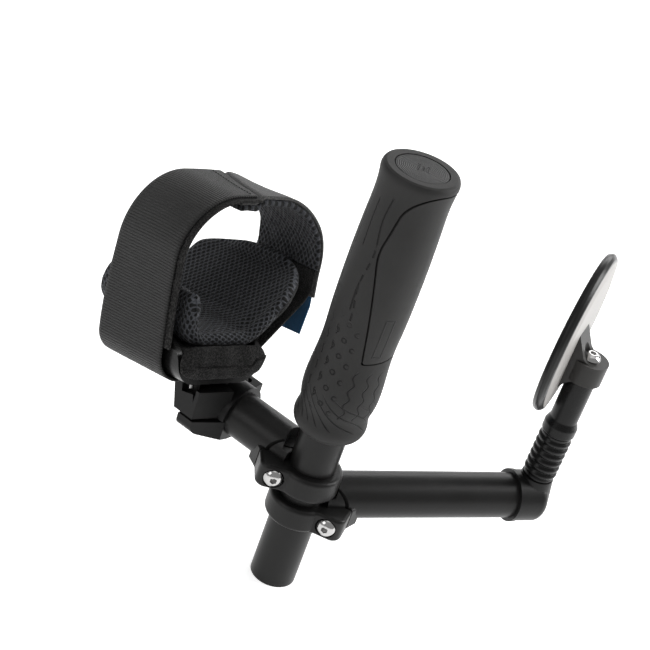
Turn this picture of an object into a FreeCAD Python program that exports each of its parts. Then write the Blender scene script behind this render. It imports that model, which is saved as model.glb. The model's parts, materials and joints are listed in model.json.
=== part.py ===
import FreeCAD, Part
import math
import os

# Handlebar end with an adjustable forearm cuff and a bar-end mirror.
# Lengths are in millimetres. +Z runs up the handlebar tube, and the origin is
# the centre of the tube's lower end.

Vector = FreeCAD.Vector
Rotation = FreeCAD.Rotation
Placement = FreeCAD.Placement

doc = FreeCAD.newDocument("handlebar_end")
sheet = doc.addObject("Spreadsheet::Sheet", "Dimensions")

DIMENSIONS = [
    ("tube_radius", 11.1), ("tube_wall", 1.6), ("tube_length", 221.0),
    ("running_gap", 0.05), ("soft_gap", 0.4),
    ("grip_bottom", 89.5), ("grip_top", 227.2), ("sleeve_radius", 12.7),
    ("panel_depth", 1.4), ("panel_groove", 0.7), ("plug_radius", 12.3),
    ("limit_base", 37.0), ("limit_height", 1.6), ("limit_depth", 0.25),
    ("band_radius", 15.2), ("band_height", 12.4), ("band_gap", 4.8), ("upper_band_base", 55.0),
    ("arm_radius", 11.3), ("arm_wall", 1.8), ("left_arm_length", 60.0), ("right_arm_length", 113.4),
    ("left_azimuth", 154.4), ("right_azimuth", 32.1), ("arm_bore_start", 31.0),
    ("scoop_radius", 15.8), ("scoop_base", 5.2), ("slit_width", 1.2), ("slit_angle", 38.0),
    ("clamp_bolt_along", 8.1), ("clamp_bolt_aside", 17.3), ("clamp_jaw", 11.0), ("clamp_bolt_length", 19.0),
    ("bolt_radius", 2.5), ("bolt_clearance", 0.2), ("bolt_head_radius", 4.8), ("bolt_head_height", 3.1),
    ("bolt_hex", 1.75), ("bolt_socket_depth", 1.9),
    ("collar_radius", 14.2), ("collar_start", 44.5), ("collar_end", 62.0), ("split_gap", 1.2),
    ("lug_reach", 26.0), ("small_bolt_radius", 2.0), ("small_head_radius", 3.5),
    ("cuff_azimuth", -40.5), ("cuff_pitch", 18.5), ("cuff_roll", -7.0),
    ("cuff_along", 51.5), ("cuff_aside", 21.0), ("cuff_above", 21.1),
    ("shell_length", 62.5), ("shell_left", -21.9), ("shell_right", 28.0), ("shell_thickness", 3.0),
    ("shell_corner", 10.0), ("shell_corner_right", 15.0), ("shell_wall_height", 20.0), ("lining_top", 14.6),
    ("pad_thickness", 9.0), ("webbing_width", 50.0), ("webbing_thickness", 1.4),
    ("hook_thickness", 1.2), ("loop_thickness", 1.8), ("mesh_thickness", 3.0),
    ("strap_top", 85.8), ("strap_right", 62.4), ("webbing_end", 18.0),
    ("strap_corner", 30.0), ("strap_pin_radius", 1.0), ("strap_pin_across", -11.6), ("strap_pin_above", 1.4),
    ("tab_width", 24.0), ("tab_thickness", 1.0),
    ("elbow_radius", 12.8), ("elbow_flange_radius", 13.2), ("elbow_length", 17.8), ("neck_position", 125.5),
    ("spigot_length", 16.0), ("boss_radius", 6.1), ("ball_height", 24.0), ("ball_radius", 3.4),
    ("seat_radius", 4.9), ("rod_radius", 1.9), ("bellows_base", 13.5), ("bellows_top", 37.8),
    ("bellows_ridge", 8.4), ("bellows_valley", 7.1), ("bellows_wall", 0.8), ("bellows_ridges", 6),
    ("stem_radius", 7.0), ("stem_base", 41.0), ("stem_collar_radius", 8.4), ("stem_top", 82.4),
    ("ring_radius", 9.2), ("ring_base", 74.0), ("ring_top", 85.2),
    ("mirror_radius", 41.2), ("mirror_height", 94.0), ("mirror_offset", 11.8), ("mirror_heading", -12.5),
    ("bead_radius", 2.5), ("back_offset", 8.3), ("back_radius", 33.0), ("glass_radius", 37.4),
    ("glass_thickness", 1.8), ("foam_thickness", 0.8),
]
for row, (alias, value) in enumerate(DIMENSIONS, start=1):
    sheet.set("A%d" % row, alias)
    sheet.set("B%d" % row, str(value))
    sheet.setAlias("B%d" % row, alias)
doc.recompute()


def dim(alias):
    """A driving dimension, read from the sheet."""
    return float(sheet.get(alias))


def bind(item, **links):
    """Tie properties of an object to expressions over the sheet's cells."""
    for prop, expression in links.items():
        item.setExpression(prop, expression.replace("D.", "Dimensions."))
    return item


def place(item, placement):
    item.Placement = placement
    return item


# ---------------------------------------------------------------- frames

def turned(base, angle):
    return Placement(base, Rotation(Vector(0, 0, 1), angle))


LOWER_BAND_BASE = dim("upper_band_base") - dim("band_gap") - dim("band_height")
LEFT_ARM = turned(Vector(0, 0, dim("upper_band_base") + dim("arm_radius")), dim("left_azimuth"))
RIGHT_ARM = turned(Vector(0, 0, LOWER_BAND_BASE + dim("arm_radius")), dim("right_azimuth"))
CUFF_ORIGIN = LEFT_ARM.multVec(Vector(dim("cuff_along"), dim("cuff_aside"), dim("cuff_above")))
CUFF_TURN = Rotation(Vector(0, 0, 1), dim("cuff_azimuth"))
CUFF_TURN = CUFF_TURN.multiply(Rotation(Vector(0, 1, 0), -dim("cuff_pitch")))
CUFF_TURN = CUFF_TURN.multiply(Rotation(Vector(1, 0, 0), dim("cuff_roll")))
CUFF = Placement(CUFF_ORIGIN, CUFF_TURN)
NECK_BASE = RIGHT_ARM.multVec(Vector(dim("neck_position"), 0, 0))
NECK = Placement(NECK_BASE, Rotation())
HEAD = turned(NECK_BASE, dim("mirror_heading"))
IDENTITY = Placement()
ALONG_X = Rotation(Vector(0, 1, 0), 90)


# ---------------------------------------------------------------- shape helpers

def cylinder(name, radius, height, base=Vector(0, 0, 0), turn=Rotation()):
    item = doc.addObject("Part::Cylinder", name)
    bind(item, Radius=radius, Height=height)
    return place(item, Placement(base, turn))


def cone(name, radius_low, radius_high, height, base=Vector(0, 0, 0), turn=Rotation()):
    item = doc.addObject("Part::Cone", name)
    bind(item, Radius1=radius_low, Radius2=radius_high, Height=height)
    return place(item, Placement(base, turn))


def sphere(name, radius, centre=Vector(0, 0, 0)):
    item = doc.addObject("Part::Sphere", name)
    bind(item, Radius=radius)
    return place(item, Placement(centre, Rotation()))


def block(name, length, width, height, base=Vector(0, 0, 0), turn=Rotation()):
    item = doc.addObject("Part::Box", name)
    bind(item, Length=length, Width=width, Height=height)
    return place(item, Placement(base, turn))


def hexagon(name, across, height, base=Vector(0, 0, 0), turn=Rotation()):
    item = doc.addObject("Part::Prism", name)
    item.Polygon = 6
    bind(item, Circumradius=across, Height=height)
    return place(item, Placement(base, turn))


def cut(name, base, *tools):
    tool = tools[0] if len(tools) == 1 else fuse(name + "_tools", *tools)
    item = doc.addObject("Part::Cut", name)
    item.Base = base
    item.Tool = tool
    return item


def fuse(name, *shapes):
    item = doc.addObject("Part::MultiFuse", name)
    item.Shapes = list(shapes)
    item.Refine = True
    return item


def common(name, first, second):
    item = doc.addObject("Part::MultiCommon", name)
    item.Shapes = [first, second]
    return item


def rounded(points, radii):
    """Lines and arcs round a closed outline, each corner with its own radius."""
    count = len(points)
    starts, ends, arcs = [], [], []
    for index in range(count):
        corner = Vector(points[index][0], points[index][1], 0)
        before = Vector(points[index - 1][0], points[index - 1][1], 0) - corner
        after = Vector(points[(index + 1) % count][0], points[(index + 1) % count][1], 0) - corner
        radius = radii[index]
        before.normalize()
        after.normalize()
        half = before.getAngle(after) / 2.0
        if radius <= 0 or half > math.radians(89.5):
            starts.append(corner)
            ends.append(corner)
            arcs.append(None)
            continue
        back = radius / math.tan(half)
        bisector = (before + after).normalize()
        centre = corner + bisector * (radius / math.sin(half))
        starts.append(corner + before * back)
        ends.append(corner + after * back)
        arcs.append(centre - bisector * radius)
    lines = []
    for index in range(count):
        if arcs[index] is not None:
            lines.append(Part.Arc(starts[index], arcs[index], ends[index]))
        begin, finish = ends[index], starts[(index + 1) % count]
        if begin.distanceToPoint(finish) > 1e-6:
            lines.append(Part.LineSegment(begin, finish))
    return lines


def ribbon(path, radii, thickness):
    """The outline of a strip of even thickness that follows a bent path."""
    half = thickness / 2.0
    left, right = [], []
    last = len(path) - 1
    directions = []
    for index in range(last):
        step = Vector(path[index + 1][0] - path[index][0], path[index + 1][1] - path[index][1], 0)
        directions.append(step.normalize())
    for index, point in enumerate(path):
        before = directions[max(index - 1, 0)]
        after = directions[min(index, last - 1)]
        normal_before = Vector(-before.y, before.x, 0)
        normal_after = Vector(-after.y, after.x, 0)
        miter = (normal_before + normal_after).normalize()
        reach = half / miter.dot(normal_before)
        turn = before.cross(after).z
        radius = radii[index]
        inner = max(radius - half, 0)
        outer = radius + half if radius > 0 else 0
        left.append(((point[0] + miter.x * reach, point[1] + miter.y * reach), inner if turn > 0 else outer))
        right.append(((point[0] - miter.x * reach, point[1] - miter.y * reach), outer if turn > 0 else inner))
    both = left + right[::-1]
    return rounded([entry[0] for entry in both], [entry[1] for entry in both])


PLANES = {"XY": "XY_Plane", "XZ": "XZ_Plane", "YZ": "YZ_Plane"}


def sketch_in(body, name, plane, geometry):
    drawing = body.newObject("Sketcher::SketchObject", name)
    role = PLANES[plane]
    support = [item for item in body.Origin.OriginFeatures if item.Role == role][0]
    drawing.AttachmentSupport = (support, "")
    drawing.MapMode = "FlatFace"
    for line in geometry:
        drawing.addGeometry(line, False)
    return drawing


def padded(name, plane, geometry, length, offset=0.0, reverse=False):
    """A pad of an outline drawn on one of the body's own planes."""
    body = doc.addObject("PartDesign::Body", name)
    drawing = sketch_in(body, name + "_sketch", plane, geometry)
    drawing.AttachmentOffset = Placement(Vector(0, 0, offset), Rotation())
    pad = body.newObject("PartDesign::Pad", name + "_pad")
    pad.Profile = drawing
    pad.Reversed = reverse
    bind(pad, Length=length)
    return body


def revolved(name, geometry):
    """A full turn of a profile drawn in the XZ plane, about Z."""
    body = doc.addObject("PartDesign::Body", name)
    drawing = sketch_in(body, name + "_sketch", "XZ", geometry)
    turn = body.newObject("PartDesign::Revolution", name + "_turn")
    turn.Profile = drawing
    turn.ReferenceAxis = (drawing, ["V_Axis"])
    turn.Angle = 360
    return body


def polygon(points):
    return rounded(points, [0] * len(points))


def spline_profile(samples, closing):
    """A smooth outer line through the samples, closed by straight lines."""
    curve = Part.BSplineCurve()
    curve.interpolate([Vector(x, y, 0) for x, y in samples])
    lines = [curve]
    chain = [samples[-1]] + closing + [samples[0]]
    for begin, finish in zip(chain[:-1], chain[1:]):
        lines.append(Part.LineSegment(Vector(begin[0], begin[1], 0), Vector(finish[0], finish[1], 0)))
    return lines


nodes = []


def node(item, label, placement=IDENTITY):
    """Name a finished piece and put it where it belongs."""
    item.Label = label
    if not placement.isIdentity():
        item.Placement = placement.multiply(item.Placement)
    nodes.append(item)
    return item


def group(name, pieces):
    """Identical fasteners as separate solids in one object."""
    item = doc.addObject("Part::Compound", name)
    item.Links = pieces
    return item


def upright(item, start):
    """Stand an XY pad up so that its outline lies in XZ and it runs from Y = start towards -Y."""
    item.Placement = Placement(Vector(0, start, 0), Rotation(Vector(1, 0, 0), 90))
    return item


# ---------------------------------------------------------------- handlebar and grip

GRIP_PROFILE = [
    (14.8, 90.3), (16.6, 92.6), (17.3, 96.3), (16.5, 101.4), (17.3, 107.1), (17.9, 115.0), (17.5, 123.0),
    (16.8, 133.0), (16.75, 141.0), (17.2, 151.0), (17.5, 165.0), (17.5, 183.6), (17.3, 193.2), (17.0, 202.7),
    (16.7, 212.1), (16.85, 217.5), (17.3, 222.0), (17.5, 225.0), (16.8, 226.8),
]
PANEL_TURN = 34.0
PANEL_OUTLINE = [(-5.2, 136.3), (14.8, 139.1), (14.8, 223.8), (-9.1, 223.8), (-13.9, 190.5)]
PANEL_CORNERS = [1.0, 3.0, 3.0, 16.0, 40.0]
PANEL_INWARD = [(1, 1), (-1, 1), (-1, -1), (1, -1), (1, 0)]


def handlebar_tube():
    """A plain tube with a fine limit line round it, where the bare length that can be clamped ends."""
    outer = cylinder("tube_outer", "D.tube_radius", "D.tube_length")
    inner = cylinder("tube_inner", "D.tube_radius - D.tube_wall", "D.tube_length")
    line_base = Vector(0, 0, dim("limit_base"))
    line_outer = cylinder("limit_outer", "D.tube_radius + 1", "D.limit_height", line_base)
    line_inner = cylinder("limit_inner", "D.tube_radius - D.limit_depth", "D.limit_height", line_base)
    line = cut("limit_line", line_outer, line_inner)
    node(cut("handlebar_tube_cut", outer, inner, line), "handlebar_tube")


def grip_sleeve():
    base = Vector(0, 0, dim("grip_bottom") + 1.5)
    length = "D.tube_length - D.grip_bottom - 1.5"
    outer = cylinder("sleeve_outer", "D.sleeve_radius", length, base)
    inner = cylinder("sleeve_inner", "D.tube_radius", length, base)
    node(cut("grip_sleeve_cut", outer, inner), "grip_sleeve")


def grip_solid(name, grow=0.0):
    """The grip's full outside shape, a little smaller when grow is negative."""
    samples = [(radius + grow, height) for radius, height in GRIP_PROFILE]
    closing = [(samples[-1][0] - 1.2, dim("grip_top")), (0, dim("grip_top")), (0, dim("grip_bottom"))]
    closing.append((samples[0][0] - 0.8, dim("grip_bottom")))
    return revolved(name, spline_profile(samples, closing))


def panel_prism(name, inset):
    """The palm panel's outline, cut through the grip's front right side."""
    points = []
    for corner, inward in zip(PANEL_OUTLINE, PANEL_INWARD):
        points.append((corner[0] + inset * inward[0], corner[1] + inset * inward[1]))
    body = padded(name, "XY", rounded(points, PANEL_CORNERS), "D.sleeve_radius * 3")
    facing = Rotation(Vector(0, 0, 1), PANEL_TURN).multiply(Rotation(Vector(1, 0, 0), 90))
    body.Placement = Placement(Vector(0, 0, 0), facing)
    return body


def grip_parts():
    whole = grip_solid("grip_outside")
    low = Vector(0, 0, dim("grip_bottom"))
    lower_hole = cylinder("grip_lip_hole", "D.tube_radius + D.running_gap", "1.5 mm", low)
    sleeve_base = low + Vector(0, 0, 1.5)
    sleeve_hole = cylinder("grip_sleeve_hole", "D.sleeve_radius", "D.tube_length - D.grip_bottom - 1.5",
                           sleeve_base)
    plug_base = Vector(0, 0, dim("tube_length"))
    plug_hole = cylinder("grip_plug_hole", "D.plug_radius + D.running_gap", "D.grip_top - D.tube_length",
                         plug_base)
    plug_shelf = cylinder("grip_shelf_hole", "D.sleeve_radius", "1.6 mm", plug_base)
    pocket_prism = panel_prism("panel_pocket_prism", 0.0)
    pocket_core = revolved("panel_pocket_core", spline_profile(
        [(radius - dim("panel_depth"), height) for radius, height in GRIP_PROFILE],
        [(0, GRIP_PROFILE[-1][1]), (0, GRIP_PROFILE[0][1])]))
    pocket = cut("panel_pocket", pocket_prism, pocket_core)
    rubber = cut("grip_body_cut", whole, lower_hole, sleeve_hole, plug_hole, plug_shelf, pocket)
    node(rubber, "grip_body")
    skin_outer = grip_solid("panel_outside")
    skin_core = revolved("panel_core", spline_profile(
        [(radius - dim("panel_depth"), height) for radius, height in GRIP_PROFILE],
        [(0, GRIP_PROFILE[-1][1]), (0, GRIP_PROFILE[0][1])]))
    skin = cut("panel_skin", skin_outer, skin_core)
    panel = common("grip_palm_panel_common", skin, panel_prism("panel_prism", dim("panel_groove")))
    node(panel, "grip_palm_panel")


def grip_end_plug():
    """A plug that closes the tube: a stem in the tube and a flat head."""
    inner = dim("tube_radius") - dim("tube_wall")
    top = dim("grip_top")
    head = dim("plug_radius")
    shoulder = dim("tube_length")
    stem_low = shoulder - 14.0
    points = [(0, stem_low), (inner - 0.6, stem_low), (inner, stem_low + 2.0), (inner, shoulder)]
    points += [(head, shoulder), (head, top - 0.6), (head - 0.6, top - 0.1), (8.0, top), (0, top)]
    node(revolved("grip_end_plug_turn", polygon(points)), "grip_end_plug")


# ---------------------------------------------------------------- fasteners

def button_bolt(name, length, head="D.bolt_head_radius", radius="D.bolt_radius"):
    """A domed hex-socket bolt along +X: the head's seat is at X = 0 and the head is at -X."""
    head_radius = dim(head.replace("D.", ""))
    height = dim("bolt_head_height") * head_radius / dim("bolt_head_radius")
    dome_top = head_radius * 0.45
    middle = Vector(head_radius * 0.84, height * 0.62, 0)
    dome = Part.Arc(Vector(head_radius, height * 0.2, 0), middle, Vector(dome_top, height, 0))
    lines = [Part.LineSegment(Vector(0, 0, 0), Vector(head_radius, 0, 0))]
    lines.append(Part.LineSegment(Vector(head_radius, 0, 0), Vector(head_radius, height * 0.2, 0)))
    lines.append(dome)
    lines.append(Part.LineSegment(Vector(dome_top, height, 0), Vector(0, height, 0)))
    lines.append(Part.LineSegment(Vector(0, height, 0), Vector(0, 0, 0)))
    cap = revolved(name + "_cap", lines)
    shank = cylinder(name + "_shank", radius, length, Vector(0, 0, -dim_length(length)))
    whole = fuse(name + "_solid", cap, shank)
    depth = dim("bolt_socket_depth") * head_radius / dim("bolt_head_radius")
    scale = head_radius / dim("bolt_head_radius")
    socket = hexagon(name + "_socket", "D.bolt_hex * %.4f" % scale, "D.bolt_socket_depth",
                     Vector(0, 0, height - depth))
    return cut(name + "_bolt", whole, socket)


def dim_length(expression):
    """The value of a length given as a cell or a plain number of millimetres."""
    if expression.startswith("D."):
        return dim(expression.replace("D.", ""))
    return float(expression.replace(" mm", ""))


HEAD_DOWN = Rotation(Vector(1, 0, 0), 180)


# ---------------------------------------------------------------- bar ends

def bar_end(side, name, length_cell, frame):
    """A forged bar end: a split band round the tube, a bolt boss and a hollow arm. side is +1 or -1."""
    low = -dim("arm_radius") - 0.06
    mid = low + dim("band_height") / 2.0
    band_radius = dim("band_radius")
    edge = 2.2
    high = low + dim("band_height")
    band = revolved(name + "_band", rounded(
        [(0, low), (band_radius, low), (band_radius, high), (0, high)], [0, edge, edge, 0]))
    arm = cylinder(name + "_arm", "D.arm_radius", "D.%s - 9" % length_cell, Vector(9, 0, 0), ALONG_X)
    outline = [(-2.5, 4), (-2.5, 13.2), (3.9, 15.7), (13.2, 23.0), (21.6, 13.0), (28.0, 9.4), (28.0, 4)]
    radii = [0, 0, 3.0, 5.0, 5.0, 0, 0]
    outline = [(x, y * side) for x, y in outline]
    boss_pad = padded(name + "_boss", "XY", rounded(outline, radii), "D.band_height", low)
    boss = doc.addObject("Part::Fillet", name + "_boss_round")
    boss.Base = boss_pad
    doc.recompute()
    rims = []
    for index, edge_shape in enumerate(boss_pad.Shape.Edges, start=1):
        box = edge_shape.BoundBox
        flat = box.ZMax - box.ZMin < 0.01
        centre = edge_shape.CenterOfMass
        outer_side = abs(centre.y) > 4.1 and -2.4 < centre.x < 27.9
        if flat and outer_side:
            rims.append((index, 1.6, 1.6))
    boss.Edges = rims
    doc.recompute()
    whole = fuse(name + "_blank", band, arm, boss)
    bore = cylinder(name + "_bore", "D.tube_radius + D.running_gap", "60 mm", Vector(0, 0, -30))
    scoop = cylinder(name + "_scoop", "D.scoop_radius", "30 mm", Vector(0, 0, dim("scoop_base")))
    tilt = Rotation(Vector(0, 0, 1), side * dim("slit_angle"))
    seat = Vector(dim("clamp_bolt_along"), side * dim("clamp_bolt_aside"), mid)
    # U runs along the bolt from its seat into the arm, across the slit.
    bolt_frame = Placement(seat, Rotation(Vector(0, 0, 1), side * (dim("slit_angle") - 90)).multiply(ALONG_X))
    slit_base = tilt.multVec(Vector(11.5, 0, 0)) * -1.0 + Vector(seat.x, seat.y, 0)
    inward = tilt.multVec(Vector(0, -side, 0))
    slit = block(name + "_slit", "42 mm", "D.slit_width", "60 mm")
    corner = slit_base + inward * (dim("clamp_jaw") + (dim("slit_width") if side > 0 else 0.0))
    slit.Placement = Placement(corner + Vector(0, 0, -30) + tilt.multVec(Vector(5.0, 0, 0)), tilt)
    hollow_length = "D.%s - D.arm_bore_start" % length_cell
    hollow = cylinder(name + "_hollow", "D.arm_radius - D.arm_wall", hollow_length,
                      Vector(dim("arm_bore_start"), 0, 0), ALONG_X)
    through = cylinder(name + "_bolt_hole", "D.bolt_radius + D.bolt_clearance", "D.clamp_jaw + 0.5")
    thread = cylinder(name + "_thread", "D.bolt_radius", "D.clamp_bolt_length + 0.5")
    spot = cylinder(name + "_spot_face", "D.bolt_head_radius + 0.3", "12 mm", Vector(0, 0, -12))
    for tool in (through, thread, spot):
        tool.Placement = bolt_frame.multiply(tool.Placement)
    piece = cut(name + "_cut", whole, bore, scoop, slit, hollow, through, thread, spot)
    node(piece, name, frame)
    bolt = button_bolt(name + "_clamp", "D.clamp_bolt_length")
    bolt.Placement = bolt_frame.multiply(Placement(Vector(0, 0, 0), HEAD_DOWN))
    label = "left_clamp_bolt" if side > 0 else "right_clamp_bolt"
    node(bolt, label, frame)


def left_arm_plug():
    """A plastic plug in the left arm's open end."""
    stem = cylinder("arm_plug_stem", "D.arm_radius - D.arm_wall", "8 mm",
                    Vector(dim("left_arm_length") - 8.0, 0, 0), ALONG_X)
    lip = cylinder("arm_plug_lip", "D.arm_radius", "1.6 mm", Vector(dim("left_arm_length"), 0, 0), ALONG_X)
    node(fuse("left_arm_plug_fuse", stem, lip), "left_arm_plug", LEFT_ARM)


# ---------------------------------------------------------------- cuff bracket

LUG_NEAR = 54.0
CUFF_IN_ARM = LEFT_ARM.inverse().multiply(CUFF)
NEAR_BOLT = (58.6, 19.0)
FAR_BOLT = (55.5, -15.9)
JAW_BOLT_SEAT = -5.6


def far_lug(name, base, height):
    return block(name, "12 mm", "14 mm", height, Vector(49.5, -20.2, base))


def bracket_upper():
    """The saddle under the cuff: a half collar, a rising block on the near side and a lug on the far side."""
    span = "D.collar_end - D.collar_start"
    collar = cylinder("saddle_collar", "D.collar_radius", span, Vector(dim("collar_start"), 0, 0), ALONG_X)
    near_outline = [(LUG_NEAR - 0.5, 0.0), (65.0, 0.0), (71.5, 23.0), (60.0, 23.0)]
    near = upright(padded("saddle_near", "XY", polygon(near_outline), "D.lug_reach - 8"), dim("lug_reach"))
    middle_outline = [(49.5, 0.0), (64.5, 0.0), (71.0, 23.0), (56.5, 23.0)]
    middle = upright(padded("saddle_middle", "XY", polygon(middle_outline), "21 mm"), 10.0)
    rib = padded("saddle_rib", "XY", polygon([(46.0, 10.0), (54.0, 26.0), (56.0, 26.0), (56.0, 8.0)]),
                 "16 mm")
    lug = far_lug("saddle_lug", 0.0, "7 mm")
    whole = fuse("saddle_blank", collar, near, middle, rib, lug)
    bore = cylinder("saddle_bore", "D.arm_radius + D.running_gap", "D.left_arm_length + 2.9 - D.collar_start",
                    Vector(dim("collar_start") - 1, 0, 0), ALONG_X)
    below = block("saddle_below", "60 mm", "80 mm", "40 mm", Vector(30, -40, -40 + dim("split_gap") / 2.0))
    above = block("saddle_above", "200 mm", "200 mm", "80 mm", Vector(-100, -100, 0))
    above.Placement = CUFF_IN_ARM.multiply(above.Placement)
    room = block("saddle_strap_room", "200 mm", "60 mm", "40 mm", Vector(-100, 12.4, -2.3))
    room.Placement = CUFF_IN_ARM.multiply(room.Placement)
    near_thread = cylinder("saddle_near_thread", "D.small_bolt_radius", "11 mm", Vector(*NEAR_BOLT, 0))
    far_thread = cylinder("saddle_far_thread", "D.small_bolt_radius", "12 mm", Vector(*FAR_BOLT, 0))
    pocket_turn = CUFF_IN_ARM.Rotation
    pocket = cylinder("saddle_pocket", "4.2 mm", "20 mm", Vector(59.6, 25.2, 12.0), pocket_turn)
    screws = []
    for index, (along, across) in enumerate(SHELL_SCREWS):
        hole = cylinder("saddle_screw_hole_%d" % index, "D.small_bolt_radius", "7 mm",
                        Vector(along, across, -6.5))
        hole.Placement = CUFF_IN_ARM.multiply(hole.Placement)
        screws.append(hole)
    piece = cut("cuff_bracket_upper_cut", whole, bore, below, above, room, near_thread, far_thread, pocket,
                *screws)
    node(piece, "cuff_bracket_upper", LEFT_ARM)


def bracket_lower():
    """The jaw under the arm, drawn up to the saddle by two bolts."""
    span = "D.collar_end - D.collar_start"
    collar = cylinder("jaw_collar", "D.collar_radius - 0.8", span, Vector(dim("collar_start"), 0, 0), ALONG_X)
    outline = [(0, 0), (0, -13.4), (6.0, -12.8), (26.0, -6.8), (26.0, 0)]
    jaw = padded("jaw_near", "YZ", rounded(outline, [0, 0, 10.0, 4.5, 0]), span, dim("collar_start"))
    lug = far_lug("jaw_lug", -6.5, "6.5 mm")
    whole = fuse("jaw_blank", collar, jaw, lug)
    bore = cylinder("jaw_bore", "D.arm_radius + D.running_gap", "D.collar_end - D.collar_start + 4",
                    Vector(dim("collar_start") - 2, 0, 0), ALONG_X)
    above = block("jaw_above", "60 mm", "80 mm", "40 mm", Vector(30, -40, -dim("split_gap") / 2.0))
    corner = [(40.0, 11.0), (44.2, 11.0), (LUG_NEAR, 27.5), (LUG_NEAR, 40.0), (40.0, 40.0)]
    slant = padded("jaw_slant", "XY", polygon(corner), "60 mm", -40.0)
    near_hole = cylinder("jaw_near_hole", "D.small_bolt_radius + D.bolt_clearance", "30 mm",
                         Vector(*NEAR_BOLT, -25))
    near_seat = cylinder("jaw_near_seat", "D.small_head_radius + 0.3", "20 mm",
                         Vector(NEAR_BOLT[0], NEAR_BOLT[1], JAW_BOLT_SEAT - 20))
    far_hole = cylinder("jaw_far_hole", "D.small_bolt_radius + D.bolt_clearance", "30 mm",
                        Vector(*FAR_BOLT, -25))
    piece = cut("cuff_bracket_lower_cut", whole, bore, above, slant, near_hole, near_seat, far_hole)
    node(piece, "cuff_bracket_lower", LEFT_ARM)


def bracket_bolts():
    near = button_bolt("jaw_bolt_near", "15 mm", "D.small_head_radius", "D.small_bolt_radius")
    near.Placement = Placement(Vector(NEAR_BOLT[0], NEAR_BOLT[1], JAW_BOLT_SEAT), HEAD_DOWN)
    far = button_bolt("jaw_bolt_far", "12 mm", "D.small_head_radius", "D.small_bolt_radius")
    far.Placement = Placement(Vector(FAR_BOLT[0], FAR_BOLT[1], -6.5), HEAD_DOWN)
    node(group("cuff_clamp_bolts_group", [near, far]), "cuff_clamp_bolts", LEFT_ARM)


# ---------------------------------------------------------------- cuff

SHELL_SCREWS = [(-13.5, -1.5), (-13.5, 9.6)]
WALL_ROUND = 14.0
SHELL_FLOOR = dim("shell_thickness")
PAD_FRONT = -2.5
PAD_BACK = -88.0
WEB_FRONT = -10.0


def wall_profile(front, back, low, high, corner):
    """A side view outline with rounded upper corners, used to trim the cuff's walls."""
    points = [(front, low), (front, high), (back, high), (back, low)]
    return rounded(points, [0, corner, corner, 0])


def u_path(inset):
    """The middle line of a U-shaped strip, inset from the shell's outer face."""
    left = dim("shell_left") + inset
    right = dim("shell_right") - inset
    height = dim("shell_wall_height")
    return [(left, height), (left, inset), (right, inset), (right, height)]


def u_strip(name, inset, thickness, length, front, trim_low, trim_high, corner):
    """A U-shaped strip along the cuff, its wall corners rounded off."""
    middle = inset + thickness / 2.0
    left_radius = dim("shell_corner") - middle
    right_radius = dim("shell_corner_right") - middle
    outline = ribbon(u_path(middle), [0, left_radius, right_radius, 0], thickness)
    strip = padded(name + "_strip", "YZ", outline, length, front - dim_length(length))
    back = front - dim_length(length)
    side = padded(name + "_side", "XY", wall_profile(front, back, trim_low, trim_high, corner), "120 mm")
    upright(side, 60.0)
    return common(name + "_trim", strip, side)


def slot_tool(name, grow):
    """The opening in the floor's left corner where the webbing loops round its pin."""
    width = dim("webbing_width") + 2 * grow
    across = dim("strap_pin_across")
    base = Vector(WEB_FRONT + grow - width, across - 2.5 - grow, -2.0)
    return block(name, "%.3f mm" % width, "%.3f mm" % (5.0 + 2 * grow), "6 mm", base)


def cuff_shell():
    blank = u_strip("shell", 0.0, dim("shell_thickness"), "D.shell_length", 0.0, -1.0,
                    dim("shell_wall_height"), WALL_ROUND)
    slot = slot_tool("shell_slot", 0.3)
    pin_base = Vector(WEB_FRONT - dim("webbing_width") - 5.0, dim("strap_pin_across"), dim("strap_pin_above"))
    pin_hole = cylinder("shell_pin_hole", "D.strap_pin_radius", "D.webbing_width + 10", pin_base, ALONG_X)
    slant = padded("shell_slant", "YZ", polygon([(21.0, 13.2), (40.0, 30.7), (40.0, 60.0), (21.0, 60.0)]),
                   "100 mm", -90.0)
    tools = [slot, pin_hole, slant]
    for index, (along, across) in enumerate(SHELL_SCREWS):
        tools.append(cylinder("shell_screw_hole_%d" % index, "D.small_bolt_radius + D.bolt_clearance",
                              "10 mm", Vector(along, across, -3)))
        tools.append(cone("shell_sink_%d" % index, "D.small_bolt_radius", "D.small_bolt_radius * 2 + 0.2",
                          "2.2 mm", Vector(along, across, SHELL_FLOOR - 2.2)))
    node(cut("cuff_shell_cut", blank, *tools), "cuff_shell", CUFF)
    pin = cylinder("strap_pin_rod", "D.strap_pin_radius", "D.webbing_width + 10", pin_base, ALONG_X)
    node(pin, "strap_pin", CUFF)


def shell_screws():
    screws = []
    for index, (along, across) in enumerate(SHELL_SCREWS):
        head = cone("shell_screw_head_%d" % index, "D.small_bolt_radius", "D.small_bolt_radius * 2", "2 mm",
                    Vector(along, across, SHELL_FLOOR - 2.1))
        shank = cylinder("shell_screw_shank_%d" % index, "D.small_bolt_radius", "6.9 mm",
                         Vector(along, across, SHELL_FLOOR - 2.1 - 6.9))
        whole = fuse("shell_screw_solid_%d" % index, head, shank)
        socket = hexagon("shell_screw_socket_%d" % index, "1.4 mm", "1.6 mm",
                         Vector(along, across, SHELL_FLOOR - 1.6))
        screws.append(cut("shell_screw_%d" % index, whole, socket))
    node(group("cuff_shell_screws_group", screws), "cuff_shell_screws", CUFF)


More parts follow.
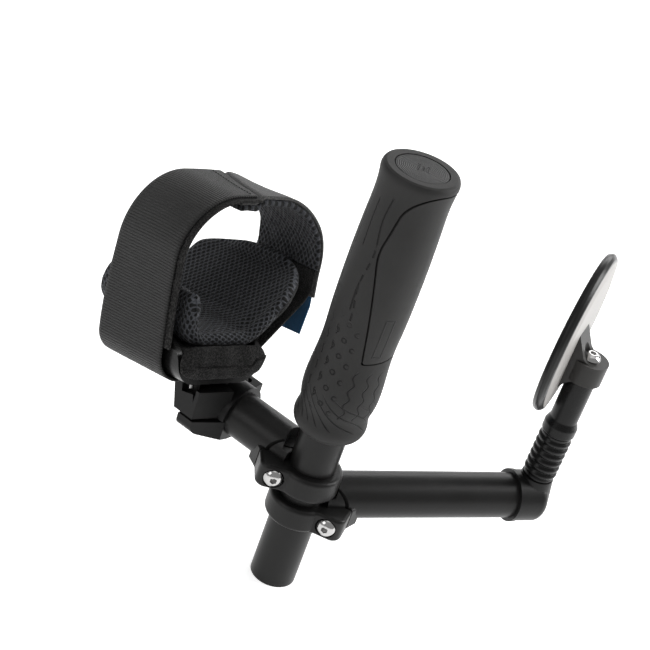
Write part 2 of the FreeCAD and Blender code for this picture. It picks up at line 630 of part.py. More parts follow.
def cuff_lining():
    """A pile-covered foam insert that fills the shell's floor under the cushion."""
    inset = dim("shell_thickness") + 0.15
    left, right = dim("shell_left") + inset, dim("shell_right") - inset
    outline = rounded([(left, inset), (right, inset), (right, 40), (left, 40)],
                      [dim("shell_corner") - inset, dim("shell_corner_right") - inset, 0, 0])
    blank = padded("lining_block", "YZ", outline, "D.shell_length - 2", 1.0 - dim("shell_length"))
    above = block("lining_above", "80 mm", "80 mm", "40 mm", Vector(-75, -40, dim("lining_top")))
    slot = slot_tool("lining_slot", 0.3)
    node(cut("cuff_lining_cut", blank, above, slot, *screw_clearances("lining")), "cuff_lining", CUFF)


def screw_clearances(name):
    """Room above the countersunk heads."""
    rooms = []
    for index, (along, across) in enumerate(SHELL_SCREWS):
        rooms.append(cylinder("%s_screw_room_%d" % (name, index), "D.small_bolt_radius * 2 + 0.2", "2 mm",
                              Vector(along, across, SHELL_FLOOR - 1.0)))
    return rooms


def pad_path():
    low = dim("lining_top") + dim("soft_gap") + dim("pad_thickness") / 2.0
    left = dim("shell_left") + dim("shell_thickness") + dim("soft_gap") + dim("pad_thickness") / 2.0
    return [(left, 42.0), (left, low), (20.6, low), (52.3, 48.8), (52.3, 64.0)]


def cuff_pad():
    """A thick spacer-mesh cushion: it lies on the insert and its wings rise on both sides."""
    outline = ribbon(pad_path(), [0, 8.0, 9.0, 9.0, 0], dim("pad_thickness"))
    strip = padded("pad_strip", "YZ", outline, "%.1f mm" % (PAD_FRONT - PAD_BACK), PAD_BACK)
    side = [(PAD_FRONT, 6.0), (PAD_FRONT, 32.0), (-9.0, 47.0), (-26.0, 57.5), (-55.0, 55.5), (PAD_BACK, 47.0)]
    side.append((PAD_BACK, 6.0))
    trim = upright(padded("pad_side", "XY", rounded(side, [0, 14.0, 14.0, 14.0, 40.0, 8.0, 0]), "120 mm"),
                   70.0)
    plan = [(2.0, -30.0), (2.0, 70.0), (PAD_BACK - 2, 70.0), (PAD_BACK - 2, 20.0), (-76.0, -13.0),
            (-76.0, -30.0)]
    above = padded("pad_plan", "XY", polygon(plan), "80 mm")
    low_left = common("cuff_pad_common", common("cuff_pad_strip_trim", strip, trim), above)
    node(low_left, "cuff_pad", CUFF)


def strap_middle(depth):
    """The middle line of a strap layer whose outside is depth below the strap's outermost face."""
    left = dim("shell_left") - dim("soft_gap") - dim("hook_thickness") - dim("webbing_thickness") + depth
    top = dim("strap_top") - depth
    right = dim("strap_right") - depth
    return left, top, right


def along_web(name, outline, width="D.webbing_width", front=WEB_FRONT):
    length = dim_length(width)
    return padded(name, "YZ", outline, width, front - length)


def strap_webbing():
    """The ribbed webbing: looped round its pin, up the left side and over the top."""
    thick = dim("webbing_thickness")
    left, top, right = strap_middle(thick / 2.0)
    low = -dim("soft_gap") - thick / 2.0
    across, above = dim("strap_pin_across"), dim("strap_pin_above")
    path = [(across, low), (left, low), (left, top), (dim("webbing_end"), top)]
    strip = along_web("webbing_strip", ribbon(path, [0, 11.0, dim("strap_corner"), 0], thick))
    centre = Vector(WEB_FRONT - dim("webbing_width"), across, above)
    eye_wall = 1.0
    reach = dim("strap_pin_radius") + dim("running_gap") + eye_wall
    eye = cylinder("webbing_eye", "D.strap_pin_radius + D.running_gap + %.1f" % eye_wall, "D.webbing_width",
                   centre, ALONG_X)
    root = block("webbing_root", "D.webbing_width", "%.3f mm" % reach, "%.3f mm" % (above - low + thick / 2.0),
                 Vector(centre.x, across - reach, low - thick / 2.0))
    hole = cylinder("webbing_eye_hole", "D.strap_pin_radius + D.running_gap", "D.webbing_width", centre,
                    ALONG_X)
    node(cut("strap_webbing_cut", fuse("webbing_solid", strip, eye, root), hole), "strap_webbing", CUFF)


def strap_hook_patch():
    """The hook tape sewn under the webbing, which grips the loop strap at the top."""
    thick = dim("hook_thickness")
    inside = dim("webbing_thickness") + thick / 2.0
    left, top, right = strap_middle(inside)
    radius = dim("strap_corner") + dim("webbing_thickness") / 2.0 - inside
    path = [(left, 15.0), (left, top), (dim("webbing_end") - 1.0, top)]
    outline = ribbon(path, [0, radius, 0], thick)
    node(along_web("strap_hook_strip", outline, "54 mm", WEB_FRONT + 4.0), "strap_hook_patch", CUFF)


def loop_top_depth():
    """How far the loop strap's outer face lies below the webbing's."""
    return dim("webbing_thickness") + dim("hook_thickness") + 0.3


def loop_path(depth, start, low):
    """The loop strap's middle line: along the top, over the right corner and down."""
    left, top, right = strap_middle(loop_top_depth() + depth)
    side = dim("strap_right") - depth
    return [(start, top), (side, top), (side, low)]


def loop_strap():
    """The soft loop strap: from under the webbing's end, over the top and down the right side."""
    thick = dim("loop_thickness")
    outline = ribbon(loop_path(thick / 2.0, 6.5, 38.0), [0, dim("strap_corner"), 0], thick)
    node(along_web("loop_strap_strip", outline), "loop_strap", CUFF)


def mesh_lining():
    """A strip of spacer mesh sewn inside the loop strap."""
    thick = dim("mesh_thickness")
    depth = dim("loop_thickness") + thick / 2.0
    radius = dim("strap_corner") - depth + dim("loop_thickness") / 2.0
    outline = ribbon(loop_path(depth, 7.5, 51.6), [0, radius, 0], thick)
    node(along_web("mesh_lining_strip", outline), "mesh_lining", CUFF)


def strap_anchor():
    """The fixed lower right strap: from the shell's corner up the outside of the pad to the loop strap."""
    thick = 1.6
    around = dim("shell_corner_right") + 0.2 + thick / 2.0
    centre_across = dim("shell_right") - dim("shell_corner_right")
    low = dim("shell_corner_right") - around
    bend = centre_across + around * math.tan(math.radians(22.5)) + 1.5
    inside = dim("strap_right") - dim("loop_thickness") - 0.1 - thick / 2.0
    path = [(centre_across, low), (bend, low), (inside, low + inside - bend), (inside, 51.0)]
    outline = ribbon(path, [0, around, 12.0, 0], thick)
    node(along_web("strap_anchor_strip", outline, "46 mm", WEB_FRONT - 2.0), "strap_anchor", CUFF)


def pull_tab():
    """A flat coloured tab that hangs from the loop strap's end."""
    thick = dim("tab_thickness")
    side = dim("strap_right") - 0.9
    path = [(side, 37.6), (side, 33.0), (side - 3.4, 19.2)]
    outline = ribbon(path, [0, 3.0, 0], thick)
    node(along_web("pull_tab_strip", outline, "D.tab_width", -12.0), "pull_tab", CUFF)


# ---------------------------------------------------------------- mirror arm

def mirror_elbow():
    """The moulded elbow: a spigot in the arm, a rounded body and an upright socket boss."""
    start = dim("right_arm_length")
    radius = dim("elbow_radius")
    length = dim("elbow_length")
    body = revolved("elbow_body", rounded([(0, 0), (radius, 0), (radius, length), (0, length)],
                                          [0, 0, 5.0, 0]))
    body.Placement = Placement(Vector(start, 0, 0), ALONG_X)
    flange = cylinder("elbow_flange", "D.elbow_flange_radius", "2.2 mm", Vector(start, 0, 0), ALONG_X)
    spigot = cylinder("elbow_spigot", "D.arm_radius - D.arm_wall - D.running_gap", "D.spigot_length",
                      Vector(start - dim("spigot_length"), 0, 0), ALONG_X)
    neck = Vector(dim("neck_position"), 0, 0)
    root = cone("elbow_root", "D.boss_radius + 4.2", "D.boss_radius + 2", "D.bellows_base", neck)
    boss_top = dim("ball_height") + 2.4
    boss = cylinder("elbow_boss", "D.boss_radius", "D.ball_height + 2.4", neck)
    whole = fuse("elbow_blank", body, flange, spigot, root, boss)
    socket = sphere("elbow_socket", "D.seat_radius + D.running_gap", neck + Vector(0, 0, dim("ball_height")))
    bolt_hole = cylinder("elbow_bolt_hole", "D.bolt_radius + D.bolt_clearance", "60 mm",
                         Vector(start - 20, 0, 0), ALONG_X)
    head_hole = cylinder("elbow_head_hole", "D.bolt_head_radius + 0.3", "20 mm",
                         Vector(start + length - 5.0, 0, 0), ALONG_X)
    node(cut("mirror_elbow_cut", whole, socket, bolt_hole, head_hole), "mirror_elbow", RIGHT_ARM)
    wedge_base = start - dim("spigot_length") - 9.2
    wedge = cylinder("wedge_outer", "D.arm_radius - D.arm_wall - D.running_gap * 2", "9 mm",
                     Vector(wedge_base, 0, 0), ALONG_X)
    wedge_hole = cylinder("wedge_hole", "D.bolt_radius", "9 mm", Vector(wedge_base, 0, 0), ALONG_X)
    node(cut("mirror_expander_cut", wedge, wedge_hole), "mirror_expander", RIGHT_ARM)
    reach = start + length - 5.0 - wedge_base
    bolt = button_bolt("expander_bolt", "%.2f mm" % reach, "D.bolt_head_radius")
    bolt.Placement = Placement(Vector(start + length - 5.0, 0, 0), ALONG_X)
    node(bolt, "mirror_expander_bolt", RIGHT_ARM)


def socket_seat():
    """The nylon seat between the ball and its socket."""
    centre = Vector(0, 0, dim("ball_height"))
    outer = sphere("seat_outer", "D.seat_radius", centre)
    inner = sphere("seat_inner", "D.ball_radius + D.running_gap", centre)
    top = block("seat_top", "30 mm", "30 mm", "20 mm", centre + Vector(-15, -15, 1.9))
    flare = cone("seat_flare", "1.8 mm", "5 mm", "4 mm", centre)
    node(cut("neck_socket_seat_cut", outer, inner, top, flare), "neck_socket_seat", NECK)


def neck_ball():
    """The steel ball and the rod that carries the stem."""
    centre = Vector(0, 0, dim("ball_height"))
    ball = sphere("ball_ball", "D.ball_radius", centre)
    rod = cylinder("ball_rod", "D.rod_radius", "22 mm", centre)
    node(fuse("neck_ball_fuse", ball, rod), "neck_ball", NECK)


def bellows():
    """A thin rubber bellows round the ball joint."""
    base = dim("bellows_base")
    top = dim("bellows_top")
    count = int(dim("bellows_ridges"))
    ridge, valley, wall = dim("bellows_ridge"), dim("bellows_valley"), dim("bellows_wall")
    cuff_height = 2.0
    pitch = (top - base - 2 * cuff_height) / count
    outer = [(valley + 0.6, base), (valley + 0.6, base + cuff_height)]
    for index in range(count):
        start = base + cuff_height + index * pitch
        outer += [(valley, start + 0.15 * pitch), (ridge, start + 0.4 * pitch)]
        outer += [(ridge, start + 0.6 * pitch), (valley, start + 0.85 * pitch)]
    outer += [(valley + 0.6, top - cuff_height), (valley + 0.6, top)]
    inner = [(radius - wall, height) for radius, height in outer[::-1]]
    outline = rounded(outer + inner, [0] * (2 * len(outer)))
    node(revolved("bellows_turn", outline), "bellows", NECK)


def mirror_stem():
    """The stem: a collar over the bellows' upper end and a straight rod with a threaded top."""
    low = dim("stem_base")
    radius = dim("stem_radius")
    collar = dim("stem_collar_radius")
    top = dim("stem_top")
    points = [(0, low), (collar, low), (collar, low + 5.0), (radius, low + 8.5), (radius, top), (0, top)]
    blank = revolved("stem_blank", rounded(points, [0, 0.8, 1.5, 1.5, 0.6, 0]))
    rod_hole = cylinder("stem_rod_hole", "D.rod_radius", "D.ball_height + 22 - D.stem_base",
                        Vector(0, 0, low))
    thread = cylinder("stem_thread", "D.small_bolt_radius", "12 mm", Vector(0, 0, top - 12.0))
    node(cut("mirror_stem_cut", blank, rod_hole, thread), "mirror_stem", NECK)


# ---------------------------------------------------------------- mirror head

MIRROR_TURN = Rotation(Vector(0, 1, 0), 90)


def facing(item):
    """Turn a shape revolved about Z so that its axis is +X through the mirror's centre."""
    centre = Vector(-dim("mirror_offset"), 0, dim("mirror_height"))
    item.Placement = Placement(centre, MIRROR_TURN)
    return item


def mirror_bracket():
    """The bracket: a ring that turns on the stem and a flared foot on the mirror's back."""
    ring_base = Vector(0, 0, dim("ring_base"))
    ring = cylinder("bracket_ring", "D.ring_radius", "D.ring_top - D.ring_base", ring_base)
    back = -dim("back_offset")
    low, high = dim("mirror_height") - 27.0, dim("mirror_height") + 3.5
    side = [(back - 1, low), (back - 1, high), (back, high), (-1.5, dim("ring_top")), (4.0, dim("ring_top")),
            (4.0, dim("ring_base")), (-4.5, dim("ring_base")), (back, low)]
    flare = upright(padded("bracket_flare", "XY", rounded(side, [0, 0, 0, 6.0, 0, 0, 8.0, 0]), "15 mm"), 7.5)
    whole = fuse("bracket_blank", ring, flare)
    hole_length = "D.stem_top + 0.3 - D.ring_base + 20"
    hole = cylinder("bracket_hole", "D.stem_radius + D.running_gap", hole_length,
                    ring_base - Vector(0, 0, 20))
    bolt_hole = cylinder("bracket_bolt_hole", "D.small_bolt_radius + D.bolt_clearance", "30 mm", ring_base)
    spot = cylinder("bracket_spot_face", "D.bolt_head_radius + 0.4", "12 mm", Vector(0, 0, dim("ring_top")))
    behind = block("bracket_behind", "30 mm", "80 mm", "120 mm", Vector(back - 30, -40, 20))
    node(cut("mirror_bracket_cut", whole, hole, bolt_hole, spot, behind), "mirror_bracket", HEAD)


def pivot_screw():
    screw = button_bolt("head_screw", "14 mm", "D.bolt_head_radius", "D.small_bolt_radius")
    screw.Placement = Placement(Vector(0, 0, dim("ring_top")), Rotation())
    node(screw, "mirror_pivot_screw", HEAD)


def mirror_housing():
    """The round backing shell with its beaded rim, its recess open towards the glass."""
    radius = dim("mirror_radius")
    bead = dim("bead_radius")
    rise = dim("mirror_offset") - dim("back_offset")
    flat = dim("back_radius")
    glass = dim("glass_radius") + 0.15
    recess = -0.4
    points = [(0, recess), (glass, recess), (glass, -2.6), (radius - 1.2, -2.6), (radius, -0.6),
              (radius, 0.8)]
    points += [(radius - 1.6, bead), (flat, rise), (0, rise)]
    radii = [0, 0, 0.5, 1.4, 1.2, 1.2, 1.5, 6.0, 0]
    node(facing(revolved("housing_turn", rounded(points, radii))), "mirror_housing", HEAD)


def mirror_glass():
    front = -0.4 - dim("foam_thickness")
    foam = cylinder("foam_disc", "D.glass_radius - 6", "D.foam_thickness", Vector(0, 0, front))
    glass = cylinder("glass_disc", "D.glass_radius", "D.glass_thickness - 0.6", Vector(0, 0, front - 1.2))
    for item, label in ((foam, "mirror_foam_pad"), (glass, "mirror_glass")):
        local = item.Placement
        facing(item)
        item.Placement = item.Placement.multiply(local)
        node(item, label, HEAD)


# ---------------------------------------------------------------- build

handlebar_tube()
grip_sleeve()
grip_parts()
grip_end_plug()
bar_end(1, "left_bar_end", "left_arm_length", LEFT_ARM)
bar_end(-1, "right_bar_end", "right_arm_length", RIGHT_ARM)
left_arm_plug()
bracket_upper()
bracket_lower()
bracket_bolts()
cuff_shell()
shell_screws()
cuff_lining()
cuff_pad()
strap_webbing()
strap_hook_patch()
loop_strap()
mesh_lining()
strap_anchor()
pull_tab()
mirror_elbow()
socket_seat()
neck_ball()
bellows()
mirror_stem()
mirror_bracket()
pivot_screw()
mirror_housing()
mirror_glass()
doc.recompute()

for item in doc.Objects:
    if "Invalid" in item.State or "Error" in item.State:
        raise RuntimeError("object %s did not compute: %s" % (item.Name, item.State))

os.makedirs("parts", exist_ok=True)
for item in nodes:
    shape = item.Shape
    if shape.isNull() or not shape.isValid():
        raise RuntimeError("piece %s has no valid shape" % item.Label)
    shape.exportStep(os.path.join("parts", item.Label + ".step"))
    print("%-22s solids %d  volume %9.1f" % (item.Label, len(shape.Solids), shape.Volume))
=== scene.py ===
import json
import math
import bpy
import numpy as np
from mathutils import Matrix, Vector


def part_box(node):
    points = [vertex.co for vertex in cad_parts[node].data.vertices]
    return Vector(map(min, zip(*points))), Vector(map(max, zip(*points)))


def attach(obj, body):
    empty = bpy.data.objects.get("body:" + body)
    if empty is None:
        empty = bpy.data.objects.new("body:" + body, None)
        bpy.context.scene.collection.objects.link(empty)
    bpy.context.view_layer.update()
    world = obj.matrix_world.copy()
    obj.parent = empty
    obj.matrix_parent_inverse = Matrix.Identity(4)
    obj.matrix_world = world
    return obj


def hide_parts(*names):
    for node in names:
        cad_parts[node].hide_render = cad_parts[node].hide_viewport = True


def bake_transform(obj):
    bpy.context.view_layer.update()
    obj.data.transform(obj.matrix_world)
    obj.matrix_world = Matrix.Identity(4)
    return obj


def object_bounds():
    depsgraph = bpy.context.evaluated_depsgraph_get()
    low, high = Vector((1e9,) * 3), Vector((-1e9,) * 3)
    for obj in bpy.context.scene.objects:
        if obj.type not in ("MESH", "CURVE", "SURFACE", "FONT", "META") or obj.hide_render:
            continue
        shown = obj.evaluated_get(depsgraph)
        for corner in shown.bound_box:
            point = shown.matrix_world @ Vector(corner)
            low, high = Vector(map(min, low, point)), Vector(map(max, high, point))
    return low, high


# Looks for a handlebar end with a forearm cuff and a mirror. Lengths inside the
# helpers are in millimetres, in the row frame or in the cuff's own frame.

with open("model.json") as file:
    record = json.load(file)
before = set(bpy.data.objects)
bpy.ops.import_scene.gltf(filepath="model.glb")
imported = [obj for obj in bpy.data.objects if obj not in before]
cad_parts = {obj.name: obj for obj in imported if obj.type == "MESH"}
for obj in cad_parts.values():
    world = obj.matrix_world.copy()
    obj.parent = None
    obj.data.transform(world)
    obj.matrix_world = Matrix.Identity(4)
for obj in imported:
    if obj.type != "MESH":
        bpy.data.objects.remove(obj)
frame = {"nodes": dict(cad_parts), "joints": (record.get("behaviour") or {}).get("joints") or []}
cad_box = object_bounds()
MM = 0.001
DEGREE = 57.29578
FULL_TURN = 6.283
scene = bpy.context.scene


# ------------------------------------------------------------------ frames

def joint_named(name):
    return next(j for j in frame["joints"] if j["name"] == name)


# The cuff's own frame: x along the arm, y across it and z up, with the strap's pin at a known place in it.
CUFF_ROLL = math.radians(-7.0)
PIN_ACROSS, PIN_ABOVE, PIN_ALONG = -11.6, 1.4, -35.0
pin = joint_named("strap_swing")
along = Vector(pin["axis"]).normalized()
level = Vector((0, 0, 1)).cross(along).normalized()
across = level * math.cos(CUFF_ROLL) + along.cross(level) * math.sin(CUFF_ROLL)
above = along.cross(across)
cuff_turn = Matrix((along, across, above)).transposed()
cuff_origin = Vector(pin["pos_m"]) - cuff_turn @ (Vector((PIN_ALONG, PIN_ACROSS, PIN_ABOVE)) * MM)
CUFF = Matrix.Translation(cuff_origin) @ cuff_turn.to_4x4()

neck_low, bellows_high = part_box("bellows")
NECK_CENTRE = (neck_low + bellows_high) / 2
neck_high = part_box("mirror_stem")[0]


def centre_of(node):
    low_corner, high_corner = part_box(node)
    return (low_corner + high_corner) / 2


house_low, house_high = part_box("mirror_housing")
house_radius = (house_high.z - house_low.z) / 2
glass_centre = centre_of("mirror_glass")
foam_centre = centre_of("mirror_foam_pad")
face_axis = (glass_centre - foam_centre).normalized()
face_side = face_axis.cross(Vector((0, 0, 1))).normalized()


# ------------------------------------------------------------------ patterns

class Term:
    """A shader value that can be used in a formula, as numbers are."""

    def __init__(self, out):
        self.out = out

    def __add__(self, other):
        return operate("ADD", self, other)

    def __sub__(self, other):
        return operate("SUBTRACT", self, other)

    def __mul__(self, other):
        return operate("MULTIPLY", self, other)

    def __truediv__(self, other):
        return operate("DIVIDE", self, other)

    def __rsub__(self, other):
        return operate("SUBTRACT", other, self)

    __radd__, __rmul__ = __add__, __mul__


class Board:
    """The node tree that put() adds to."""

    tree = None


def put(kind, **settings):
    made = Board.tree.nodes.new("ShaderNode" + kind)
    for key, value in settings.items():
        setattr(made, key, value)
    return made


def feed(socket, value):
    if isinstance(value, Term):
        Board.tree.links.new(value.out, socket)
    else:
        socket.default_value = value


def operate(operation, *values):
    made = put("Math", operation=operation)
    for socket, value in zip(made.inputs, values):
        feed(socket, value)
    return Term(made.outputs[0])


def fract(a):
    return operate("FRACT", a)


def size_of(a):
    return operate("ABSOLUTE", a)


def sine(a):
    return operate("SINE", a)


def lesser(a, b):
    return operate("MINIMUM", a, b)


def greater(a, b):
    return operate("MAXIMUM", a, b)


def step(value, start, end, low=0.0, high=1.0):
    """low before start, high after end, and smooth between."""
    made = put("MapRange", interpolation_type="SMOOTHSTEP")
    for socket, v in zip(made.inputs, (value, start, end, low, high)):
        feed(socket, v)
    return Term(made.outputs[0])


def place_mm():
    """The point in millimetres, in the object's own frame."""
    out = put("TexCoord").outputs["Object"]
    made = put("VectorMath", operation="SCALE")
    Board.tree.links.new(out, made.inputs[0])
    made.inputs["Scale"].default_value = 1000.0
    return Term(made.outputs[0])


def weave_mm():
    """Millimetres along and across the cloth, kept on the mesh."""
    return Term(put("Attribute", attribute_name="weave").outputs["Vector"])


def parts_of(vector):
    made = put("SeparateXYZ")
    feed(made.inputs[0], vector)
    return [Term(o) for o in made.outputs]


def point(x, y, z=0.0):
    made = put("CombineXYZ")
    for socket, value in zip(made.inputs, (x, y, z)):
        feed(socket, value)
    return Term(made.outputs[0])


def speckle(vector, scale, detail=2.0, rough=0.5):
    made = put("TexNoise")
    feed(made.inputs["Vector"], vector)
    made.inputs["Scale"].default_value = scale
    made.inputs["Detail"].default_value = detail
    made.inputs["Roughness"].default_value = rough
    return Term(made.outputs[0])


def cells(vector, scale, feature="F1"):
    made = put("TexVoronoi", feature=feature)
    feed(made.inputs["Vector"], vector)
    made.inputs["Scale"].default_value = scale
    return Term(made.outputs["Distance"])


def between(factor, dark, light):
    """A colour that runs from dark to light."""
    made = put("Mix", data_type="RGBA")
    feed(made.inputs["Factor"], factor)
    made.inputs[6].default_value = (*dark, 1)
    made.inputs[7].default_value = (*light, 1)
    return Term(made.outputs[2])


def darker(colour, factor):
    """A colour multiplied by a value."""
    made = put("Mix", data_type="RGBA", blend_type="MULTIPLY")
    made.inputs["Factor"].default_value = 1.0
    feed(made.inputs[6], colour)
    feed(made.inputs[7], factor)
    return Term(made.outputs[2])


def material(name, look, **fixed):
    """A material from a look, which returns colour, roughness and a list of (height, depth in mm).

    fixed sets plain sockets, with _ for each space in their names.
    """
    made = bpy.data.materials.new(name)
    made.use_nodes = True
    Board.tree = made.node_tree
    shader = Board.tree.nodes["Principled BSDF"]
    colour, rough, bumps = look()
    feed(shader.inputs["Base Color"], colour)
    feed(shader.inputs["Roughness"], rough)
    normal = None
    for height, depth in bumps:
        bump = put("Bump")
        bump.inputs["Distance"].default_value = depth * MM
        feed(bump.inputs["Height"], height)
        if normal:
            feed(bump.inputs["Normal"], normal)
        normal = Term(bump.outputs[0])
    if normal:
        feed(shader.inputs["Normal"], normal)
    for key, value in fixed.items():
        shader.inputs[key.replace("_", " ")].default_value = value
    return made


def grey(level, warm=0.0):
    return (level * (1 + warm), level, level * (1 - warm))


# ------------------------------------------------------------------ finishes

def satin(level, rough, grain=0.012, warm=0.02):
    """Powder coat or anodising: fine grain, cloudy gloss and faint scuffs."""
    def look():
        p = place_mm()
        cloud = speckle(p, 0.06, 4)
        fine = speckle(p, 3.2, 3, 0.6)
        scuff = step(speckle(p, 0.9, 6, 0.75), 0.62, 0.74)
        tone = between(cloud * 0.7 + fine * 0.3, grey(level * 0.7, warm), grey(level * 1.35, warm))
        gloss = cloud * 0.10 + fine * 0.05 + (rough - 0.075) + scuff * 0.06
        return tone, gloss, [(fine, grain), (speckle(p, 0.7, 3), grain * 1.5)]
    return look


def moulded(level, rough, grain=0.02, size=2.2, warm=0.0):
    """Moulded plastic with a fine spark texture and slight sink."""
    def look():
        p = place_mm()
        spark = cells(p, size)
        cloud = speckle(p, 0.05, 3)
        tone = between(cloud, grey(level * 0.75, warm), grey(level * 1.3, warm))
        gloss = cloud * 0.12 + spark * 0.06 + (rough - 0.08)
        return tone, gloss, [(spark, grain), (speckle(p, 0.25, 2), 0.03)]
    return look


def polished(level, rough):
    """Plated steel: bright, with hairlines and a few pits."""
    def look():
        p = place_mm()
        hair = speckle(p, 6.0, 4, 0.7)
        tone = between(hair, grey(level * 0.86, 0.01), grey(level, 0.01))
        return tone, hair * 0.10 + (rough - 0.05), [(hair, 0.004), (speckle(p, 0.8, 2), 0.012)]
    return look


def cylinder_place():
    """Angle in degrees round the tube, and height in mm."""
    x, y, z = parts_of(place_mm())
    return operate("ARCTAN2", y, x) * DEGREE, z


def grip_grain(p):
    return speckle(p, 2.6, 3, 0.65), speckle(p, 0.08, 3)


# The grip's pattern. Angles are degrees round the tube, and GRIP_ROUND turns them into mm round the grip.
GRIP_ROUND = 0.302
# Long grooves: angle, lowest and highest point, and how far each wanders sideways, in mm.
LONG_GROOVES = ((-115, 152, 218, 0.9), (-137, 190, 214, 0.3), (-158, 158, 212, 0.6), (150, 154, 214, 0.8),
                (112, 150, 218, 0.9), (74, 152, 212, 0.6), (42, 158, 214, 0.8))
WANDER_PERIOD, DASH_PERIOD = 33.0, 6.5
# Short wavy grooves below them.
WAVY_GROOVES = (-76, -54, -33, -10, 14, 38)
WAVY_LOW, WAVY_HIGH, WAVY_WANDER, WAVY_PERIOD = 106.0, 133.0, 0.85, 7.5
# Columns of rings and dashes: degrees between columns, mm between rows, and each column's shift from the last.
DOT_COLUMN, DOT_ROW, DOT_SHIFT = 17.0, 8.5, 0.37
DOTS_MIDDLE = -136.0
SWOOP_PITCH = 5.2
# The plain frame on the palm panel: its middle and half its size.
FRAME_ANGLE, FRAME_HEIGHT, FRAME_HALF_WIDE, FRAME_HALF_TALL = -54.0, 151.0, 2.1, 10.0


def groove(angle, z, at, low, high, wave, period, dash=0.0):
    """A thin groove along the grip, wandering sideways. With dash, its lower part is broken into dashes."""
    off = (angle - at) * GRIP_ROUND + sine(z * (FULL_TURN / period)) * wave
    line = step(size_of(off), 0.50, 0.18) * step(z, low, low + 2.0) * step(z, high, high - 2.0)
    if dash:
        whole = step(z, high - 26.0, high - 20.0)
        line = line * greater(whole, step(sine(z * (FULL_TURN / dash)), -0.35, 0.1))
    return line


def grip_look():
    """Soft rubber with long grooves, rows of dashes and rings, wavy grooves and swoops above the flange."""
    p = place_mm()
    angle, z = cylinder_place()
    fine, cloud = grip_grain(p)
    cutting = groove(angle, z, -118, 160, 176, 0.3, 40.0)
    for at, low, high, wave in LONG_GROOVES:
        cutting = greater(cutting, groove(angle, z, at, low, high, wave, WANDER_PERIOD, DASH_PERIOD))
    for at in WAVY_GROOVES:
        cutting = greater(cutting, groove(angle, z, at, WAVY_LOW, WAVY_HIGH, WAVY_WANDER, WAVY_PERIOD))
    column = angle / DOT_COLUMN
    across_mm = (fract(column) - 0.5) * (DOT_COLUMN * GRIP_ROUND)
    up_mm = (fract(z / DOT_ROW + operate("FLOOR", column) * DOT_SHIFT) - 0.5) * DOT_ROW
    spread = operate("SQRT", across_mm * across_mm + up_mm * up_mm)
    zone = step(z, 104.0, 110.0) * step(z, 160.0, 140.0) * step(size_of(angle - DOTS_MIDDLE), 47.0, 40.0)
    ring = step(size_of(spread - 1.1), 0.45, 0.16)
    wavy = step(size_of(across_mm + sine(up_mm * 1.4) * 0.4), 0.45, 0.15)
    dash = wavy * step(size_of(up_mm), 2.6, 2.0)
    rings_here = step(angle, -130.0, -124.0)
    dots = (ring * rings_here + dash * (1.0 - rings_here)) * zone
    cutting = greater(cutting, dots)
    bend = z + angle * 0.24 + sine(angle * 0.05) * 2.5
    swoop = step(size_of(fract(bend / SWOOP_PITCH) - 0.5) * SWOOP_PITCH, 0.55, 0.2)
    swoop = swoop * step(z, 98.0, 100.5) * step(z, 117.0, 110.0)
    cutting = greater(cutting, swoop)
    tone = between(cloud * 0.6 + fine * 0.4, grey(0.012, 0.02), grey(0.026, 0.02))
    # The grooves, dashes, rings and swoops are darkened in colour: painted shade in the recesses.
    tone = darker(tone, 1.0 - cutting * 0.7)
    return tone, cloud * 0.10 + fine * 0.08 + 0.46, [(1.0 - cutting, 0.9), (fine, 0.04)]


def panel_look():
    """The smooth palm panel, with a plain raised frame near its lower end."""
    p = place_mm()
    angle, z = cylinder_place()
    fine, cloud = grip_grain(p)
    wide = size_of(angle - FRAME_ANGLE) * GRIP_ROUND - FRAME_HALF_WIDE
    tall = size_of(z - FRAME_HEIGHT) - FRAME_HALF_TALL
    edge = greater(wide, tall)
    frame_line = step(size_of(edge), 0.5, 0.2)
    tone = between(cloud * 0.7 + fine * 0.3, grey(0.015, 0.02), grey(0.026, 0.02))
    tone = darker(tone, 1.0 - frame_line * 0.35)
    return tone, cloud * 0.08 + fine * 0.06 + 0.44, [(frame_line, 0.35), (fine, 0.025)]


def plug_look():
    """The end cap: fine turned rings and a plain mark of three bars."""
    p = place_mm()
    x, y = parts_of(p)[:2]
    radius = operate("SQRT", x * x + y * y)
    fine, cloud = grip_grain(p)
    bars = step(size_of(size_of(x) - 2.1), 0.65, 0.4) * step(size_of(y), 3.2, 2.9)
    middle = step(size_of(x), 0.65, 0.4) * step(size_of(y), 2.0, 1.7)
    mark = greater(bars, middle)
    turned = sine(radius * 7.0) * 0.12
    # The recessed mark is darkened in colour: painted shade in the recess.
    tone = darker(between(cloud * 0.6 + fine * 0.4, grey(0.012), grey(0.024)), 1.0 - mark * 0.7)
    return tone, fine * 0.08 + 0.44, [(1.0 - mark + turned, 0.5), (fine, 0.02)]


# Distances between the webbing's ribs and its yarns, between the mesh's holes, and between the tab's threads.
RIB, YARN = 1.32, 0.62
MESH_ALONG, MESH_ACROSS = 3.3, 3.9
TAB_THREAD = 0.8


def ribbed(level, light, rough):
    """Flat webbing: yarns that float over each rib, with a fuzz of fibres. Its colour is lighter on the ribs
    and darker between them: painted highlight and painted shade.
    """
    def look():
        u, v, side = parts_of(weave_mm())
        rib = size_of(fract(v / RIB) - 0.5) * 2.0
        yarn = size_of(fract(u / YARN + operate("FLOOR", v / RIB) * 0.5) - 0.5) * 2.0
        fuzz = speckle(point(u, v * 2.0, side), 3.5, 4, 0.7)
        cloud = speckle(point(u, v, side), 0.07, 3)
        raised = (1.0 - rib * rib) * 0.8 + yarn * 0.2
        # The colour follows the rib height: painted highlight on the ribs and painted shade between them.
        tone = between(raised * 0.7 + fuzz * 0.3 + cloud * 0.2 - 0.1, grey(level), grey(light, 0.02))
        return tone, fuzz * 0.15 + rough, [(raised, 0.3), (fuzz, 0.08)]
    return look


